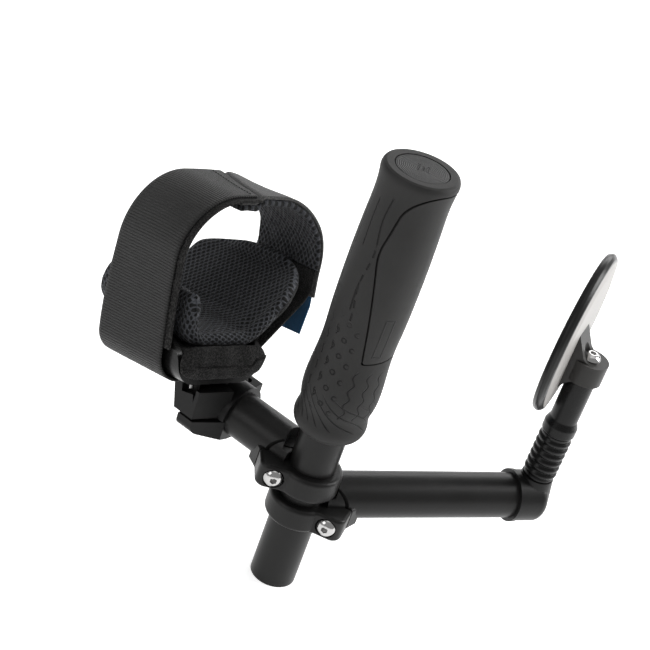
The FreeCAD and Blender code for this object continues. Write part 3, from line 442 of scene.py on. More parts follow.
def pile(level, light, length=0.9):
    """Brushed loop pile: short tangled fibres, with painted highlights on their tips."""
    def look():
        p = place_mm()
        tangle = speckle(p, 1.3, 6, 0.8)
        curl = cells(p, 1.1)
        # Lighter specks in the colour: painted highlights where the fibre tips catch the light.
        tip = step(tangle + curl * 0.25, 0.56, 0.74)
        tone = between(tip, grey(level), grey(light, 0.03))
        return tone, 0.86, [(tangle + (1.0 - curl) * 0.5, length), (speckle(p, 5.0, 2), 0.1)]
    return look


def mesh_look():
    """Spacer mesh: rows of open holes between rounded knitted ribs."""
    u, v, side = parts_of(weave_mm())
    jitter = speckle(point(u, v, side), 0.6, 2)
    a = (u + (jitter - 0.5) * 0.9) / MESH_ALONG
    b = (v + (jitter - 0.5) * 0.6) / MESH_ACROSS
    apart = []
    for shift in (0.0, 0.5):
        du = (fract(a + shift) - 0.5) * MESH_ALONG
        dv = (fract(b + shift) - 0.5) * MESH_ACROSS
        apart.append(operate("SQRT", du * du + dv * dv * 0.8))
    radius = lesser(apart[0], apart[1])
    soft = speckle(point(u, v, side), 1.6, 4, 0.7)
    hole = step(radius + (soft - 0.5) * 0.4, 1.05, 0.78)
    knit = size_of(fract(v / 0.55) - 0.5) * 2.0
    fibre = speckle(point(u * 2.0, v, side), 3.0, 3, 0.7)
    rim = step(radius, 1.7, 1.15)
    light = between(fibre * 0.6 + knit * 0.15 + rim * 0.35, grey(0.008), (0.082, 0.087, 0.100))
    # The holes are made nearly black: painted shade inside them.
    tone = darker(light, 1.0 - hole * 0.98)
    dome = step(radius, 0.5, 1.9)
    return tone, 0.84, [(dome, 1.1), (knit * 0.5 + fibre, 0.15)]


def tab_look():
    """A flat blue woven tape."""
    u, v, side = parts_of(weave_mm())
    warp = size_of(fract(u / TAB_THREAD) - 0.5) * 2.0
    weft = size_of(fract(v / TAB_THREAD + 0.5) - 0.5) * 2.0
    fuzz = speckle(point(u, v, side), 2.0, 4, 0.7)
    blend = warp * 0.25 + weft * 0.25 + fuzz * 0.5
    tone = between(blend, (0.004, 0.034, 0.085), (0.015, 0.100, 0.215))
    return tone, 0.7, [(greater(warp, weft), 0.08), (fuzz, 0.05)]


def foam_look():
    """Open foam with fine pores."""
    p = place_mm()
    pores = cells(p, 1.6)
    # Darker at the middle of each pore: painted shade in the pores.
    tone = between(pores, grey(0.02), grey(0.09))
    return tone, 0.9, [(pores, 0.3)]


def housing_look():
    """Gloss black round the rim, and a moulded back inside it whose pale colour is a painted reflection of the
    bright surroundings.
    """
    p = place_mm()
    x, y, z = parts_of(p)
    rim = house_radius / MM
    sideways = x * face_side.x + y * face_side.y - glass_centre.dot(face_side) / MM
    height = z - glass_centre.z / MM
    radius = operate("SQRT", sideways * sideways + height * height)
    inside = step(radius, rim - 2.6, rim - 3.1)
    cloud = speckle(p, 0.05, 3)
    fine = cells(p, 2.0)
    # The pale colour inside the rim is a painted reflection of the white surroundings.
    tone = between(inside, grey(0.012), grey(0.30, 0.04))
    tone = darker(tone, cloud * 0.3 + 0.85)
    gloss = inside * 0.10 + cloud * 0.08 + fine * 0.03 + 0.24
    return tone, gloss, [(fine, 0.006), (speckle(p, 0.25, 2), 0.02)]


def glass_look():
    """Silvered glass, with a faint cloudy bloom and a few rougher specks of dust."""
    p = place_mm()
    cloud = speckle(p, 0.04, 3)
    dust = step(speckle(p, 2.5, 5, 0.7), 0.66, 0.8)
    tone = between(cloud, (0.86, 0.88, 0.88), (0.93, 0.94, 0.94))
    return tone, dust * 0.12 + 0.015, [(cloud, 0.002)]


def thread_look():
    """Twisted sewing thread."""
    p = place_mm()
    twist = speckle(p, 4.0, 3)
    return between(twist, grey(0.010), grey(0.05)), 0.6, [(twist, 0.05)]


DULL = {"Specular_IOR_Level": 0.2}


def sheen(weight, roughness):
    """Settings for the soft glow of short fibres."""
    return {"Sheen_Weight": weight, "Sheen_Roughness": roughness}


FINISHES = {
    "tube_black": (satin(0.008, 0.34), DULL),
    "inner_plastic": (moulded(0.04, 0.5), {}),
    "grip_rubber": (grip_look, DULL),
    "panel_rubber": (panel_look, DULL),
    "plug_rubber": (plug_look, DULL),
    "forged_black": (satin(0.008, 0.36, 0.03), DULL),
    "bolt_chrome": (polished(0.50, 0.15), {"Metallic": 1.0}),
    "bolt_steel": (polished(0.42, 0.24), {"Metallic": 1.0}),
    "black_plastic": (moulded(0.008, 0.36), DULL),
    "bracket_black": (satin(0.003, 0.40, 0.02), DULL),
    "shell_plastic": (moulded(0.005, 0.28, 0.01), {"Coat_Weight": 0.08, "Coat_Roughness": 0.2, **DULL}),
    "pile_fabric": (pile(0.001, 0.026), {**sheen(0.05, 0.45), **DULL}),
    "loop_fabric": (pile(0.010, 0.060, 0.25), sheen(0.15, 0.5)),
    "mesh_fabric": (mesh_look, {**sheen(0.1, 0.5), **DULL}),
    "webbing_fabric": (ribbed(0.0015, 0.024, 0.5), {**sheen(0.08, 0.4), **DULL}),
    "hook_fabric": (pile(0.003, 0.035, 0.35), DULL),
    "tab_fabric": (tab_look, {**sheen(0.1, 0.4), **DULL}),
    "bellows_rubber": (moulded(0.004, 0.24, 0.01), DULL),
    "stem_plastic": (moulded(0.004, 0.28), DULL),
    "bracket_grey": (moulded(0.028, 0.40, warm=0.04), DULL),
    "housing_gloss": (housing_look, DULL),
    "foam": (foam_look, {}),
    "mirror_face": (glass_look, {"Metallic": 1.0}),
    "thread": (thread_look, DULL),
}
LOOKS = {name: material(name, look, **settings) for name, (look, settings) in FINISHES.items()}

FINISH_OF = {
    "handlebar_tube": "tube_black", "grip_sleeve": "inner_plastic", "grip_body": "grip_rubber",
    "grip_palm_panel": "panel_rubber", "grip_end_plug": "plug_rubber",
    "left_bar_end": "forged_black", "right_bar_end": "forged_black",
    "left_clamp_bolt": "bolt_chrome", "right_clamp_bolt": "bolt_chrome", "left_arm_plug": "black_plastic",
    "cuff_bracket_upper": "bracket_black", "cuff_bracket_lower": "bracket_black",
    "cuff_clamp_bolts": "bolt_steel", "cuff_shell": "shell_plastic", "strap_pin": "bolt_steel",
    "cuff_shell_screws": "bolt_steel", "mirror_elbow": "black_plastic", "mirror_expander": "black_plastic",
    "mirror_expander_bolt": "bolt_steel", "neck_socket_seat": "inner_plastic", "neck_ball": "bolt_steel",
    "mirror_stem": "stem_plastic", "mirror_bracket": "bracket_grey", "mirror_pivot_screw": "bolt_chrome",
    "mirror_housing": "housing_gloss", "mirror_glass": "mirror_face",
}
for node_name, finish_name in FINISH_OF.items():
    for mat_slot in frame["nodes"][node_name].material_slots:
        mat_slot.material = LOOKS[finish_name]


# ------------------------------------------------------------------ shapes

def shape(name, points, faces, look, body, turn=None, weave=None):
    """A smooth mesh piece from points in mm, in the frame turn, riding on a body.

    weave gives each point's place on the flat cloth, in mm, with a third number that tells the sides apart.
    """
    mesh = bpy.data.meshes.new(name)
    mesh.from_pydata((np.asarray(points) * MM).tolist(), [], faces)
    mesh.validate()
    mesh.materials.append(LOOKS[look])
    if weave is not None:
        kept = mesh.attributes.new("weave", "FLOAT_VECTOR", "POINT")
        kept.data.foreach_set("vector", np.asarray(weave, np.float32).ravel())
    mesh.polygons.foreach_set("use_smooth", [True] * len(mesh.polygons))
    piece = bpy.data.objects.new(name, mesh)
    scene.collection.objects.link(piece)
    if turn is not None:
        piece.matrix_world = turn
    if body:
        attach(piece, body)
    return piece


class Path:
    """A line in the cuff's side view: straight runs joined by arcs, found by its length."""

    def __init__(self, corners, radii):
        line = []
        for i, ((y, z), radius) in enumerate(zip(corners, radii)):
            if not radius:
                line.append((y, z))
                continue
            here = Vector((y, z))
            back = (Vector(corners[i - 1]) - here).normalized()
            on = (Vector(corners[i + 1]) - here).normalized()
            half = back.angle(on) / 2
            reach = radius / math.tan(half)
            centre = here + (back + on).normalized() * (radius / math.sin(half))
            start, end = here + back * reach - centre, here + on * reach - centre
            sweep = math.pi - 2 * half
            count = max(3, int(sweep * radius / 0.5))
            for k in range(count + 1):
                t = k / count
                arm = (start * math.sin((1 - t) * sweep) + end * math.sin(t * sweep)) / math.sin(sweep)
                line.append(tuple(centre + arm))
        self.line = np.array(line)
        steps = np.linalg.norm(np.diff(self.line, axis=0), axis=1)
        keep = np.concatenate([[True], steps > 1e-6])
        self.line = self.line[keep]
        self.s = np.concatenate([[0], np.cumsum(np.linalg.norm(np.diff(self.line, axis=0), axis=1))])
        self.length = self.s[-1]

    def at(self, s):
        return np.interp(s, self.s, self.line[:, 0]), np.interp(s, self.s, self.line[:, 1])

    def normal(self, s, reach=0.6):
        """Points left of the way the line runs."""
        y0, z0 = self.at(np.clip(s - reach, 0, self.length))
        y1, z1 = self.at(np.clip(s + reach, 0, self.length))
        d = np.hypot(y1 - y0, z1 - z0) + 1e-9
        return -(z1 - z0) / d, (y1 - y0) / d


def smooth01(t):
    """0 before 0, 1 after 1, and smooth between."""
    t = np.clip(t, 0, 1)
    return t * t * (3 - 2 * t)


# The weave's third number on a cloth's under side.
WEAVE_SIDE = 40
LEAN, BOW_IN, FAR_LIFT, CROWN, RIPPLE = 4.2, 1.3, 1.3, 1.2, 0.35


def settle(x, y, z):
    """How the worn strap differs from its straight pattern.

    It leans right and up towards its far edge, its left run bows in and its top is crowned.
    """
    far = np.clip((-10 - x) / 50, -0.1, 1.1)
    high = smooth01((z - 12) / 62)
    left = smooth01((20 - y) / 40)
    y = y + LEAN * far * high - BOW_IN * left * np.sin(np.clip(z / 78, 0, 1) * math.pi)
    z = z + (FAR_LIFT * far + CROWN * np.sin(np.clip((y + 20) / 75, 0, 1) * math.pi)) * high
    z = z + RIPPLE * np.sin(x * 0.11 + y * 0.07) * high
    return x, y, z


def tape(name, path, front, back, thick, look, body, slant=0.0, rib=None, pitch=1.0, columns=24, lift=None):
    """A flat band along a path: rounded edges, optional ribs across it, and a slanted far end.

    front and back are its edges along the cuff. rib thickens it along its length, lift moves it off its path,
    and pitch is the distance between its rows of points.
    """
    width = front - back
    xs = front - width * np.linspace(0.0, 1.0, columns + 1)
    xs[0] -= thick * 0.3
    xs[-1] += thick * 0.3
    ring = [(x, 0.5) for x in xs] + [(back, 0.2), (back, -0.2)]
    ring += [(x, -0.5) for x in xs[::-1]] + [(front, -0.2), (front, 0.2)]
    ring = np.array(ring)
    count = int(path.length / pitch) + 1
    t = np.linspace(0, 1, count)[:, None]
    x = np.repeat(ring[None, :, 0], count, 0)
    v = t * (path.length + slant * (front - x) / width)
    y, z = path.at(v)
    over = np.maximum(v - path.length, 0)
    end_y, end_z = path.line[-1] - path.line[-2]
    end_length = max(path.s[-1] - path.s[-2], 1e-6)
    y = y + over * end_y / end_length
    z = z + over * end_z / end_length
    ny, nz = path.normal(np.minimum(v, path.length - 0.01))
    side = ring[None, :, 1]
    height = thick * side
    if rib is not None:
        inner = (np.abs(x - (front + back) / 2) < width / 2 - 1.2)
        height = height + np.sign(side) * rib(v) * inner
    if lift is not None:
        height = height + lift(x, v)
    x, y, z = settle(x, y + ny * height, z + nz * height)
    points = np.stack([x, y, z], -1).reshape(-1, 3)
    k = len(ring)
    j, i = np.meshgrid(np.arange(count - 1), np.arange(k), indexing="ij")
    n = (i + 1) % k
    faces = np.stack([j * k + i, (j + 1) * k + i, (j + 1) * k + n, j * k + n], -1).reshape(-1, 4).tolist()
    faces += [list(range(k)), list(range((count - 1) * k, count * k))[::-1]]
    cloth_x, cloth_side = np.repeat(ring[None, :, 0], count, 0), np.repeat(side * WEAVE_SIDE, count, 0)
    weave = np.stack([cloth_x, v, cloth_side], -1).reshape(-1, 3)
    return shape(name, points, faces, look, body, CUFF, weave)


STITCH_PITCH, STITCH_LONG, STITCH_WIDE, STITCH_HIGH = 3.0, 2.0, 0.5, 0.35


def stitches(name, rows, body):
    """Rows of thread stitches, each from one point to another in the cuff's frame, on a surface facing up."""
    along_count, round_count = 7, 6
    points, faces = [], []
    for start, end, up in rows:
        start, end, up = Vector(start), Vector(end), Vector(up).normalized()
        run = end - start
        count = max(1, int(run.length / STITCH_PITCH))
        way = run.normalized()
        side = way.cross(up)
        for k in range(count):
            mid = start + run * ((k + 0.5) / count)
            base = len(points)
            for a in range(along_count):
                s = -1 + a / 3.0
                r = math.sqrt(max(0.0, 1 - s * s)) + 0.12
                for b in range(round_count):
                    turn = math.pi * 2 * b / round_count
                    sideways = side * (math.cos(turn) * STITCH_WIDE / 2 * r)
                    p = mid + way * (s * STITCH_LONG / 2) + sideways + up * (math.sin(turn) * STITCH_HIGH * r)
                    points.append(Vector([float(q) for q in settle(*p)]))
            for a in range(along_count - 1):
                row = base + a * round_count
                for b in range(round_count):
                    c = (b + 1) % round_count
                    faces.append([row + b, row + c, row + round_count + c, row + round_count + b])
            last = base + (along_count - 1) * round_count
            faces.append([base + b for b in range(round_count)][::-1])
            faces.append([last + b for b in range(round_count)])
    return shape(name, points, faces, "thread", body, CUFF)


# ------------------------------------------------------------------ straps

# The strap's near and far edge along the cuff, and its outside in the side view.
WEB_FRONT, WEB_BACK = -10.0, -60.0
LEFT, TOP, RIGHT, CORNER = -24.9, 85.8, 62.4, 30.0
WEB_THICK, HOOK_THICK, LOOP_THICK, MESH_THICK = 1.4, 1.2, 1.8, 3.0
# How much further the webbing's end reaches at its far edge than at its near edge.
END_SLANT = 12.4
RIB_HEIGHT = 0.14


def webbing_rib(v):
    """The rise of the webbing's ribs along its length."""
    return RIB_HEIGHT * np.abs(np.sin(np.pi * v / RIB)) ** 0.7 - RIB_HEIGHT / 2


# Up over the pin and down, under the shell to the left, then up and over the top.
WEB_UNDER, PIN_BEND = -1.1, 1.7
web_left, web_top = LEFT + WEB_THICK / 2, TOP - WEB_THICK / 2
web_path = Path([(-13.4, 0.5), (-13.4, 3.15), (-9.85, 3.15), (-9.85, WEB_UNDER), (web_left, WEB_UNDER),
                 (web_left, web_top), (15.0, web_top)],
                [0, PIN_BEND, PIN_BEND, PIN_BEND, 11.0, CORNER, 0])
webbing = tape("webbing_strap", web_path, WEB_FRONT, WEB_BACK, WEB_THICK - 0.25, "webbing_fabric", "strap",
               slant=END_SLANT, rib=webbing_rib, pitch=0.33, columns=20)
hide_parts("strap_webbing")

hook_depth = WEB_THICK + HOOK_THICK / 2
hook_path = Path([(LEFT + hook_depth, 15.0), (LEFT + hook_depth, TOP - hook_depth), (16.0, TOP - hook_depth)],
                 [0, CORNER - 1.2, 0])
hook = tape("hook_tape", hook_path, WEB_FRONT + 4, WEB_BACK, HOOK_THICK, "hook_fabric", "strap",
            slant=END_SLANT - 1.0)
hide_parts("strap_hook_patch")

loop_depth = WEB_THICK + HOOK_THICK + 0.3 + LOOP_THICK / 2
loop_right = RIGHT - LOOP_THICK / 2
loop_path = Path([(6.5, TOP - loop_depth), (loop_right, TOP - loop_depth), (loop_right, 38.0)], [0, CORNER, 0])


def loop_rise(x, v):
    """Past the webbing's end the loop strap comes up to its level, and settles back lower down."""
    start = 8.5 + END_SLANT * (WEB_FRONT - x) / (WEB_FRONT - WEB_BACK)
    return 2.7 * smooth01((v - start) / 5.0) * (1 - smooth01((v - loop_path.length + 36.0) / 28.0))


loop = tape("loop_strap_soft", loop_path, WEB_FRONT, WEB_BACK, LOOP_THICK - 0.2, "loop_fabric", "cuff",
            columns=30, lift=loop_rise)
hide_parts("loop_strap")


def mesh_rise(x, v):
    """The lining follows the loop strap, and puckers a little."""
    return 0.25 * np.sin(v * 0.5) * np.sin(x * 0.4) + 0.95 * loop_rise(x, v)


mesh_depth = loop_depth + LOOP_THICK / 2 + MESH_THICK / 2
mesh_right = RIGHT - LOOP_THICK - MESH_THICK / 2
mesh_path = Path([(7.5, TOP - mesh_depth), (mesh_right, TOP - mesh_depth), (mesh_right, 51.6)],
                 [0, CORNER - 2.4, 0])
lining_band = tape("mesh_lining_soft", mesh_path, WEB_FRONT, WEB_BACK, MESH_THICK - 0.2, "mesh_fabric", "cuff",
                   columns=30, lift=mesh_rise)
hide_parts("mesh_lining")

# The anchor strap runs under the shell, out at 45 degrees and up inside the loop strap.
ANCHOR_START, ANCHOR_UNDER, ANCHOR_RADIUS = 13.0, -1.0, 16.0
anchor_inside = RIGHT - LOOP_THICK - 0.1 - 0.8
anchor_bend = ANCHOR_START + ANCHOR_RADIUS * math.tan(math.radians(22.5)) + 1.5
anchor_path = Path([(ANCHOR_START, ANCHOR_UNDER), (anchor_bend, ANCHOR_UNDER),
                    (anchor_inside, ANCHOR_UNDER + anchor_inside - anchor_bend), (anchor_inside, 51.0)],
                   [0, ANCHOR_RADIUS, 12.0, 0])
anchor = tape("anchor_strap", anchor_path, WEB_FRONT - 2, WEB_BACK + 2, 1.3, "pile_fabric", "cuff", columns=20)
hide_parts("strap_anchor")

tab_path = Path([(RIGHT - 0.9, 37.6), (RIGHT - 0.9, 33.0), (RIGHT - 4.3, 19.2)], [0, 3.0, 0])
tab = tape("pull_tab_tape", tab_path, -12.0, -36.0, 0.9, "tab_fabric", "cuff", pitch=0.6,
           lift=lambda x, v: 0.15 * np.sin(x * 0.3))
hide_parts("pull_tab")


# ------------------------------------------------------------------ cushion and insert

PAD_FRONT, PAD_BACK, PAD_THICK, PAD_ROLL = -2.5, -88.0, 9.0, 5.5
# The cushion's under side is pile past this far from its front edge and from its left end.
PILE_ARC, PILE_RUN = 2.2, 22.0
# A seam pulls a crease into the cushion's top near its front.
CREASE_AT, CREASE_WIDE, CREASE_DEEP, CREASE_TOP = -10.5, 1.6, 1.7, 44
# Up the left wing, across the floor of the cuff, and up the right wing.
pad_path = Path([(-14.0, 42.0), (-14.0, 19.5), (20.6, 19.5), (52.3, 48.8), (52.3, 64.0)], [0, 8.0, 9.0, 9.0, 0])


def pad_rise(x):
    """The height that the cushion's wings reach, along the cuff."""
    return np.interp(-x, [2.5, 5, 9, 16, 26, 40, 55, 74, 88], [32, 40, 46, 52, 56.5, 57, 55.5, 51, 47])


def spread_rows(length, count):
    """Distances along the cushion, close together where its two ends roll over."""
    near = np.array([0, 0.12, 0.33, 0.66, 1.2, 2.0, 3.0, 4.2, 5.6])
    middle = np.linspace(near[-1], length - near[-1], count - 2 * len(near) + 2)[1:-1]
    return np.concatenate([near, middle, length - near[::-1]])


def spread_columns(length, count):
    """Distances from the cushion's front edge, close together where its edges roll over."""
    edge = np.array([0, 0.02, 0.06, 0.12, 0.22, 0.36, 0.55, 0.8, 1.1])
    ramp = np.concatenate([edge, np.linspace(1.1, 2.0, count // 2 - 8)[1:]])
    rolled = PAD_ROLL * 1.1
    near = np.where(ramp <= 1.1, ramp * PAD_ROLL, rolled + (ramp - 1.1) / 0.9 * (length / 2 - rolled))
    return np.concatenate([near, length - near[-2::-1]])


def cushion():
    """A closed cushion with rolled edges: its points, its faces and their place on the cloth."""
    rows, shy = 78, 0.7
    half = PAD_THICK / 2 - shy
    front, back = PAD_FRONT - shy, PAD_BACK + shy
    xs = front - spread_columns(front - back, 46)
    on_right = pad_path.line[:, 0] > 21
    right_s, right_z = pad_path.s[on_right], pad_path.line[on_right][:, 1]
    u, v, y, z, h, ny, nz = [], [], [], [], [], [], []
    for x in xs:
        rise = pad_rise(x)
        start = 42.0 - min(42.0, rise) + smooth01((-x - 70) / 18) * 40.0 + shy
        end = np.interp(rise, right_z, right_s) - shy
        s = start + spread_rows(end - start, rows)
        dx = min(front - x, x - back)
        ds = np.minimum(s - start, end - s)
        d = PAD_ROLL - np.sqrt(np.maximum(PAD_ROLL - dx, 0) ** 2 + np.maximum(PAD_ROLL - ds, 0) ** 2)
        d = np.clip(d, 0, PAD_ROLL)
        arc = PAD_ROLL * np.arccos(np.clip(1 - (front - x) / PAD_ROLL, 0, 1)) + max(front - x - PAD_ROLL, 0)
        across_s, up_s = pad_path.at(s)
        normal_y, normal_z = pad_path.normal(s, 2.0)
        thick = half * np.sqrt(1 - (1 - d / PAD_ROLL) ** 2)
        for kept, row in zip((u, v, y, z, h, ny, nz),
                             (np.full(rows, arc), s, across_s, up_s, thick, normal_y, normal_z)):
            kept.append(row)
    u, v, y, z, h, ny, nz = (np.array(a) for a in (u, v, y, z, h, ny, nz))
    x = np.repeat(xs[:, None], rows, 1)
    top = np.stack([x, y + ny * h, z + nz * h], -1)
    under = np.stack([x, y - ny * h, z - nz * h], -1)
    n, m = x.shape
    index = np.arange(n * m).reshape(n, m)
    rim = np.zeros((n, m), bool)
    rim[0] = rim[-1] = True
    rim[:, 0] = rim[:, -1] = True
    under_index = np.where(rim, index, index + n * m)
    faces = []
    for grid, flip in ((index, False), (under_index, True)):
        quad = np.stack([grid[:-1, :-1], grid[1:, :-1], grid[1:, 1:], grid[:-1, 1:]], -1).reshape(-1, 4)
        faces += (quad[:, ::-1] if flip else quad).tolist()
    used = np.concatenate([np.ones(n * m, bool), ~rim.ravel()])
    points = np.concatenate([top.reshape(-1, 3), under.reshape(-1, 3)])
    weave = np.concatenate([np.stack([-u, v, v * 0], -1).reshape(-1, 3),
                            np.stack([u, v, v * 0 + WEAVE_SIDE], -1).reshape(-1, 3)])
    new = np.cumsum(used) - 1
    faces = [[int(new[i]) for i in f] for f in faces]
    return points[used], faces, weave[used]


def swell(piece, pressure, cap, frames=20):
    """Blow a closed cloth up a little and let it pull in, with no point moving further than cap mm."""
    rest = np.array([v.co for v in piece.data.vertices])
    cloth = piece.modifiers.new("cloth", "CLOTH")
    cloth.settings.quality = 5
    cloth.settings.mass = 0.15
    cloth.settings.tension_stiffness = 30
    cloth.settings.compression_stiffness = 30
    cloth.settings.bending_stiffness = 2.0
    cloth.settings.use_pressure = True
    cloth.settings.uniform_pressure_force = pressure
    cloth.settings.effector_weights.gravity = 0
    cloth.collision_settings.use_collision = False
    cloth.point_cache.frame_start, cloth.point_cache.frame_end = 1, frames
    for number in range(1, frames + 1):
        scene.frame_set(number)
    shown = piece.evaluated_get(bpy.context.evaluated_depsgraph_get())
    moved = np.array([v.co for v in shown.data.vertices])
    piece.modifiers.remove(cloth)
    scene.frame_set(1)
    shift = moved - rest
    reach = np.linalg.norm(shift, axis=1, keepdims=True) + 1e-12
    shift *= np.minimum(reach, cap * MM) / reach
    piece.data.vertices.foreach_set("co", (rest + shift).astype(np.float32).ravel())
    piece.data.update()


def subdivide(piece, levels=1):
    """Apply smooth subdivision, so that the mesh is what rides on its body."""
    piece.modifiers.new("smooth", "SUBSURF").levels = levels
    shown = piece.evaluated_get(bpy.context.evaluated_depsgraph_get())
    kept = bpy.data.meshes.new_from_object(shown)
    piece.modifiers.clear()
    piece.data = kept


points, faces, weave = cushion()
pad = shape("cushion_cover", points, faces, "mesh_fabric", None, CUFF, weave)
swell(pad, pressure=3.0, cap=1.6)
co = np.array([v.co for v in pad.data.vertices]) / MM
tops = np.array([w[2] < WEAVE_SIDE / 2 for w in weave])
crease = np.exp(-((co[:, 0] - CREASE_AT) / CREASE_WIDE) ** 2) * tops * (co[:, 2] < CREASE_TOP)
co[:, 2] -= CREASE_DEEP * crease
co[:, 0] += 0.3 * np.sin(co[:, 1] * 0.5) * np.exp(-((co[:, 0] + 4) / 3) ** 2)
pad.data.vertices.foreach_set("co", (co * MM).astype(np.float32).ravel())
subdivide(pad)
pad.data.materials.append(LOOKS["pile_fabric"])
pad_weave = np.zeros(len(pad.data.vertices) * 3, np.float32)
pad.data.attributes["weave"].data.foreach_get("vector", pad_weave)
arc_of, run_of, side_of = pad_weave.reshape(-1, 3).T
under = (side_of > 30) & (arc_of > PILE_ARC) & (run_of > PILE_RUN)
for polygon in pad.data.polygons:
    polygon.material_index = int(all(under[i] for i in polygon.vertices))
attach(pad, "cuff")
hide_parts("cuff_pad")


def insert():
    """The pile-covered insert in the shell: it fills the corners, and its front swells out over the rim."""
    low, high, left, right = 3.2, 15.4, -18.7, 24.8
    outline = Path([(0.0, low), (right, low), (right, high), (left, high), (left, low), (0.0, low)],
                   [0, 11.0, 4.5, 4.5, 6.8, 0])
    count = 170
    s = np.linspace(0, outline.length, count, endpoint=False)
    y, z = outline.at(s)
    inward_y, inward_z = outline.normal(s, 1.0)
    middle_y = np.clip(y, left + 6.5, right - 6.5)
    middle_z = (low + high) / 2
    over_rim = 2.6 * smooth01((z - low) / 5.0) + 0.5
    front, back, bulge = 3.4, -61.0, 2.6
    # Each ring: its place along the cuff, its share of the way to the middle, and how much it swells.
    rings = []
    for k in range(9):
        turn = k / 8 * math.pi / 2
        rings.append((front - bulge * (1 - math.cos(turn)), (1 - math.sin(turn)) * 0.92, math.sin(turn)))
    rings += [(0.6, 0.0, 0.92), (0.35, 0.0, 0.45), (0.2, 0.0, 0.0)]
    rings += [(x, 0.0, 0.0) for x in np.linspace(-1.0, back + 1, 34)]
    rings += [(back, 0.2, 0.0)]
    points = []
    for x, pull, grow in rings:
        lump = 0.04 * np.sin(s * 0.7) * np.sin(x * 1.3 + s * 0.2)
        share = pull + lump * (pull > 0)
        out = over_rim * grow
        points.append(np.stack([x + 0.4 * np.sin(s * 0.45) * (x > 0.7),
                                y + (middle_y - y) * share - inward_y * out,
                                z + (middle_z - z) * share - inward_z * out], -1))
    points = np.concatenate(points)
    faces = []
    for j in range(len(rings) - 1):
        for i in range(count):
            n = (i + 1) % count
            faces.append([j * count + i, (j + 1) * count + i, (j + 1) * count + n, j * count + n])
    faces += [list(range(count)), list(range((len(rings) - 1) * count, len(rings) * count))[::-1]]
    return points, faces


points, faces = insert()
lining = shape("pile_insert", points, faces, "pile_fabric", "cuff", CUFF)
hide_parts("cuff_lining")

loop_outside = loop_right + LOOP_THICK / 2
seams = stitches("cuff_stitches", [
    ((-13.0, loop_outside, 40.5), (-57.0, loop_outside, 40.5), (0, 1, 0)),
    ((-13.0, loop_outside, 43.5), (-57.0, loop_outside, 43.5), (0, 1, 0)),
], "cuff")
web_seams = stitches("webbing_stitches", [
    ((-12.5, 13.0, TOP), (-57.5, 20.5, TOP), (0, 0, 1)),
    ((-12.5, LEFT + 18.0, WEB_UNDER - 0.6), (-57.5, LEFT + 18.0, WEB_UNDER - 0.6), (0, 0, -1)),
], "strap")


# ------------------------------------------------------------------ bellows and foam

ROUND = 96


def turned(name, profile, look, centre):
    """A revolved piece about the vertical through centre, from a closed line of (radius, height) in mm."""
    points, faces = [], []
    for radius, height in profile:
        for k in range(ROUND):
            a = 2 * math.pi * k / ROUND
            points.append((centre.x / MM + radius * math.cos(a), centre.y / MM + radius * math.sin(a), height))
    rows = len(profile)
    for j in range(rows):
        n = (j + 1) % rows
        for k in range(ROUND):
            m = (k + 1) % ROUND
            faces.append([j * ROUND + k, j * ROUND + m, n * ROUND + m, n * ROUND + k])
    return shape(name, points, faces, look, None)


def bellows_profile():
    """Six ridges between two plain ends, outside and back down inside."""
    low_z, high_z = neck_low.z / MM, neck_high.z / MM
    ridge, valley, wall, ends, ridges, steps = 8.4, 7.1, 0.8, 2.0, 6, 10
    pitch = (high_z - low_z - 2 * ends) / ridges
    outer = [(valley + 0.2, low_z), (valley + 0.55, low_z + 0.3), (valley + 0.6, low_z + ends - 0.4),
             (valley + 0.3, low_z + ends)]
    for index in range(ridges):
        for k in range(steps):
            t = (k + 0.5) / steps
            bulge = math.sin(t * math.pi) ** 0.8
            outer.append((valley + (ridge - valley) * bulge, low_z + ends + (index + t) * pitch))
    outer += [(valley + 0.3, high_z - ends), (valley + 0.6, high_z - ends + 0.4), (valley + 0.55, high_z - 0.3),
              (valley + 0.2, high_z)]
    return outer + [(r - wall, h) for r, h in outer[::-1]]


boot = turned("bellows_boot", bellows_profile(), "bellows_rubber", NECK_CENTRE)
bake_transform(boot)
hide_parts("bellows")


def foam_disc():
    """The thin double-sided foam behind the glass, its edge slightly crushed."""
    low_corner, high_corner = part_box("mirror_foam_pad")
    side = Vector((0, 0, 1))
    other = face_axis.cross(side)
    radius = (high_corner.z - low_corner.z) / 2 / MM
    half, crushed = 0.35, 0.294
    rings = [(0.001, half), (radius * 0.5, half), (radius - 1.2, half), (radius - 0.4, crushed),
             (radius - 0.1, 0), (radius - 0.4, -crushed), (radius - 1.2, -half), (radius * 0.5, -half),
             (0.001, -half)]
    points, faces = [], []
    for r, h in rings:
        for k in range(ROUND):
            a = 2 * math.pi * k / ROUND
            reach = r * (1 + 0.004 * math.sin(5 * a))
            p = foam_centre / MM + (side * math.cos(a) + other * math.sin(a)) * reach + face_axis * h
            points.append(tuple(p))
    for j in range(len(rings) - 1):
        for k in range(ROUND):
            m = (k + 1) % ROUND
            faces.append([j * ROUND + k, j * ROUND + m, (j + 1) * ROUND + m, (j + 1) * ROUND + k])
    last = (len(rings) - 1) * ROUND
    faces += [list(range(ROUND))[::-1], list(range(last, last + ROUND))]
    piece = shape("glass_foam", points, faces, "foam", "mirror_head")
    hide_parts("mirror_foam_pad")


foam_disc()


# ------------------------------------------------------------------ studio

WHITE = (1, 1, 1, 1)
FLOOR_REACH, FLOOR_HEIGHT = 4000, -0.2


def floor_look():
    """White paper, lit from within a little so that it keeps no shadow."""
    p = place_mm()
    cloud = speckle(p, 0.01, 2)
    return between(cloud, (0.93, 0.93, 0.93), (0.95, 0.95, 0.95)), 0.9, []


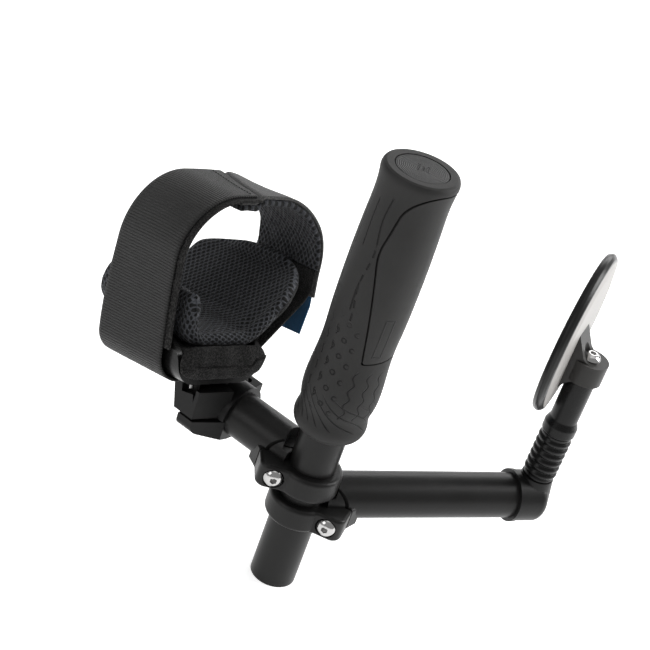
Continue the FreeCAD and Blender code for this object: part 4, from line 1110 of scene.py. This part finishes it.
LOOKS["floor"] = material("floor", floor_look, Emission_Color=WHITE, Emission_Strength=0.62)
floor_corners = [(x * FLOOR_REACH, y * FLOOR_REACH, FLOOR_HEIGHT)
                 for x, y in ((-1, -1), (1, -1), (1, 1), (-1, 1))]
floor = shape("floor", floor_corners, [[0, 1, 2, 3]], "floor", None)

world = bpy.data.worlds.new("studio")
scene.world = world
world.use_nodes = True
world.node_tree.nodes["Background"].inputs[0].default_value = WHITE
world.node_tree.nodes["Background"].inputs[1].default_value = 0.40


def lamp(name, place, target, width, height, power):
    """A flat lamp in metres and watts, facing the target."""
    data = bpy.data.lights.new(name, "AREA")
    data.shape, data.size, data.size_y, data.energy = "RECTANGLE", width, height, power
    light = bpy.data.objects.new(name, data)
    scene.collection.objects.link(light)
    light.location = place
    light.rotation_euler = (Vector(target) - Vector(place)).to_track_quat("-Z", "Y").to_euler()


middle = (cad_box[0] + cad_box[1]) / 2
lamp("key", (-0.9, -0.9, 0.9), middle, 0.7, 0.7, 4)
lamp("right", (1.1, 0.45, 0.8), middle, 0.6, 0.9, 15)
lamp("back", (0.3, 1.5, 0.7), middle, 1.4, 0.6, 8)
lamp("top", (0.1, 0.1, 1.5), middle, 1.2, 1.2, 3)

# The camera stands in front of the part and above it, rolled as the photo is.
CAMERA_PLACE = (0, -0.6652, 0.5345)
CAMERA_PAN, CAMERA_TILT, CAMERA_ROLL = -1.41, -30.68, 19.76
CAMERA_LENS, CAMERA_SENSOR = 96.95, 36.0
camera_data = bpy.data.cameras.new("camera")
camera_data.lens = CAMERA_LENS
camera_data.sensor_width = CAMERA_SENSOR
camera_data.clip_start, camera_data.clip_end = 0.05, 30
camera = bpy.data.objects.new("camera", camera_data)
scene.collection.objects.link(camera)
pan, tilt, roll = (math.radians(a) for a in (CAMERA_PAN, CAMERA_TILT, CAMERA_ROLL))
forward = Vector((math.sin(pan) * math.cos(tilt), math.cos(pan) * math.cos(tilt), math.sin(tilt)))
flat_right = forward.cross(Vector((0, 0, 1))).normalized()
flat_up = flat_right.cross(forward)
right = flat_right * math.cos(roll) + flat_up * math.sin(roll)
up = flat_up * math.cos(roll) - flat_right * math.sin(roll)
camera_turn = Matrix((right, up, -forward)).transposed().to_4x4()
camera.matrix_world = Matrix.Translation(CAMERA_PLACE) @ camera_turn
scene.camera = camera
scene.view_settings.view_transform = "Standard"
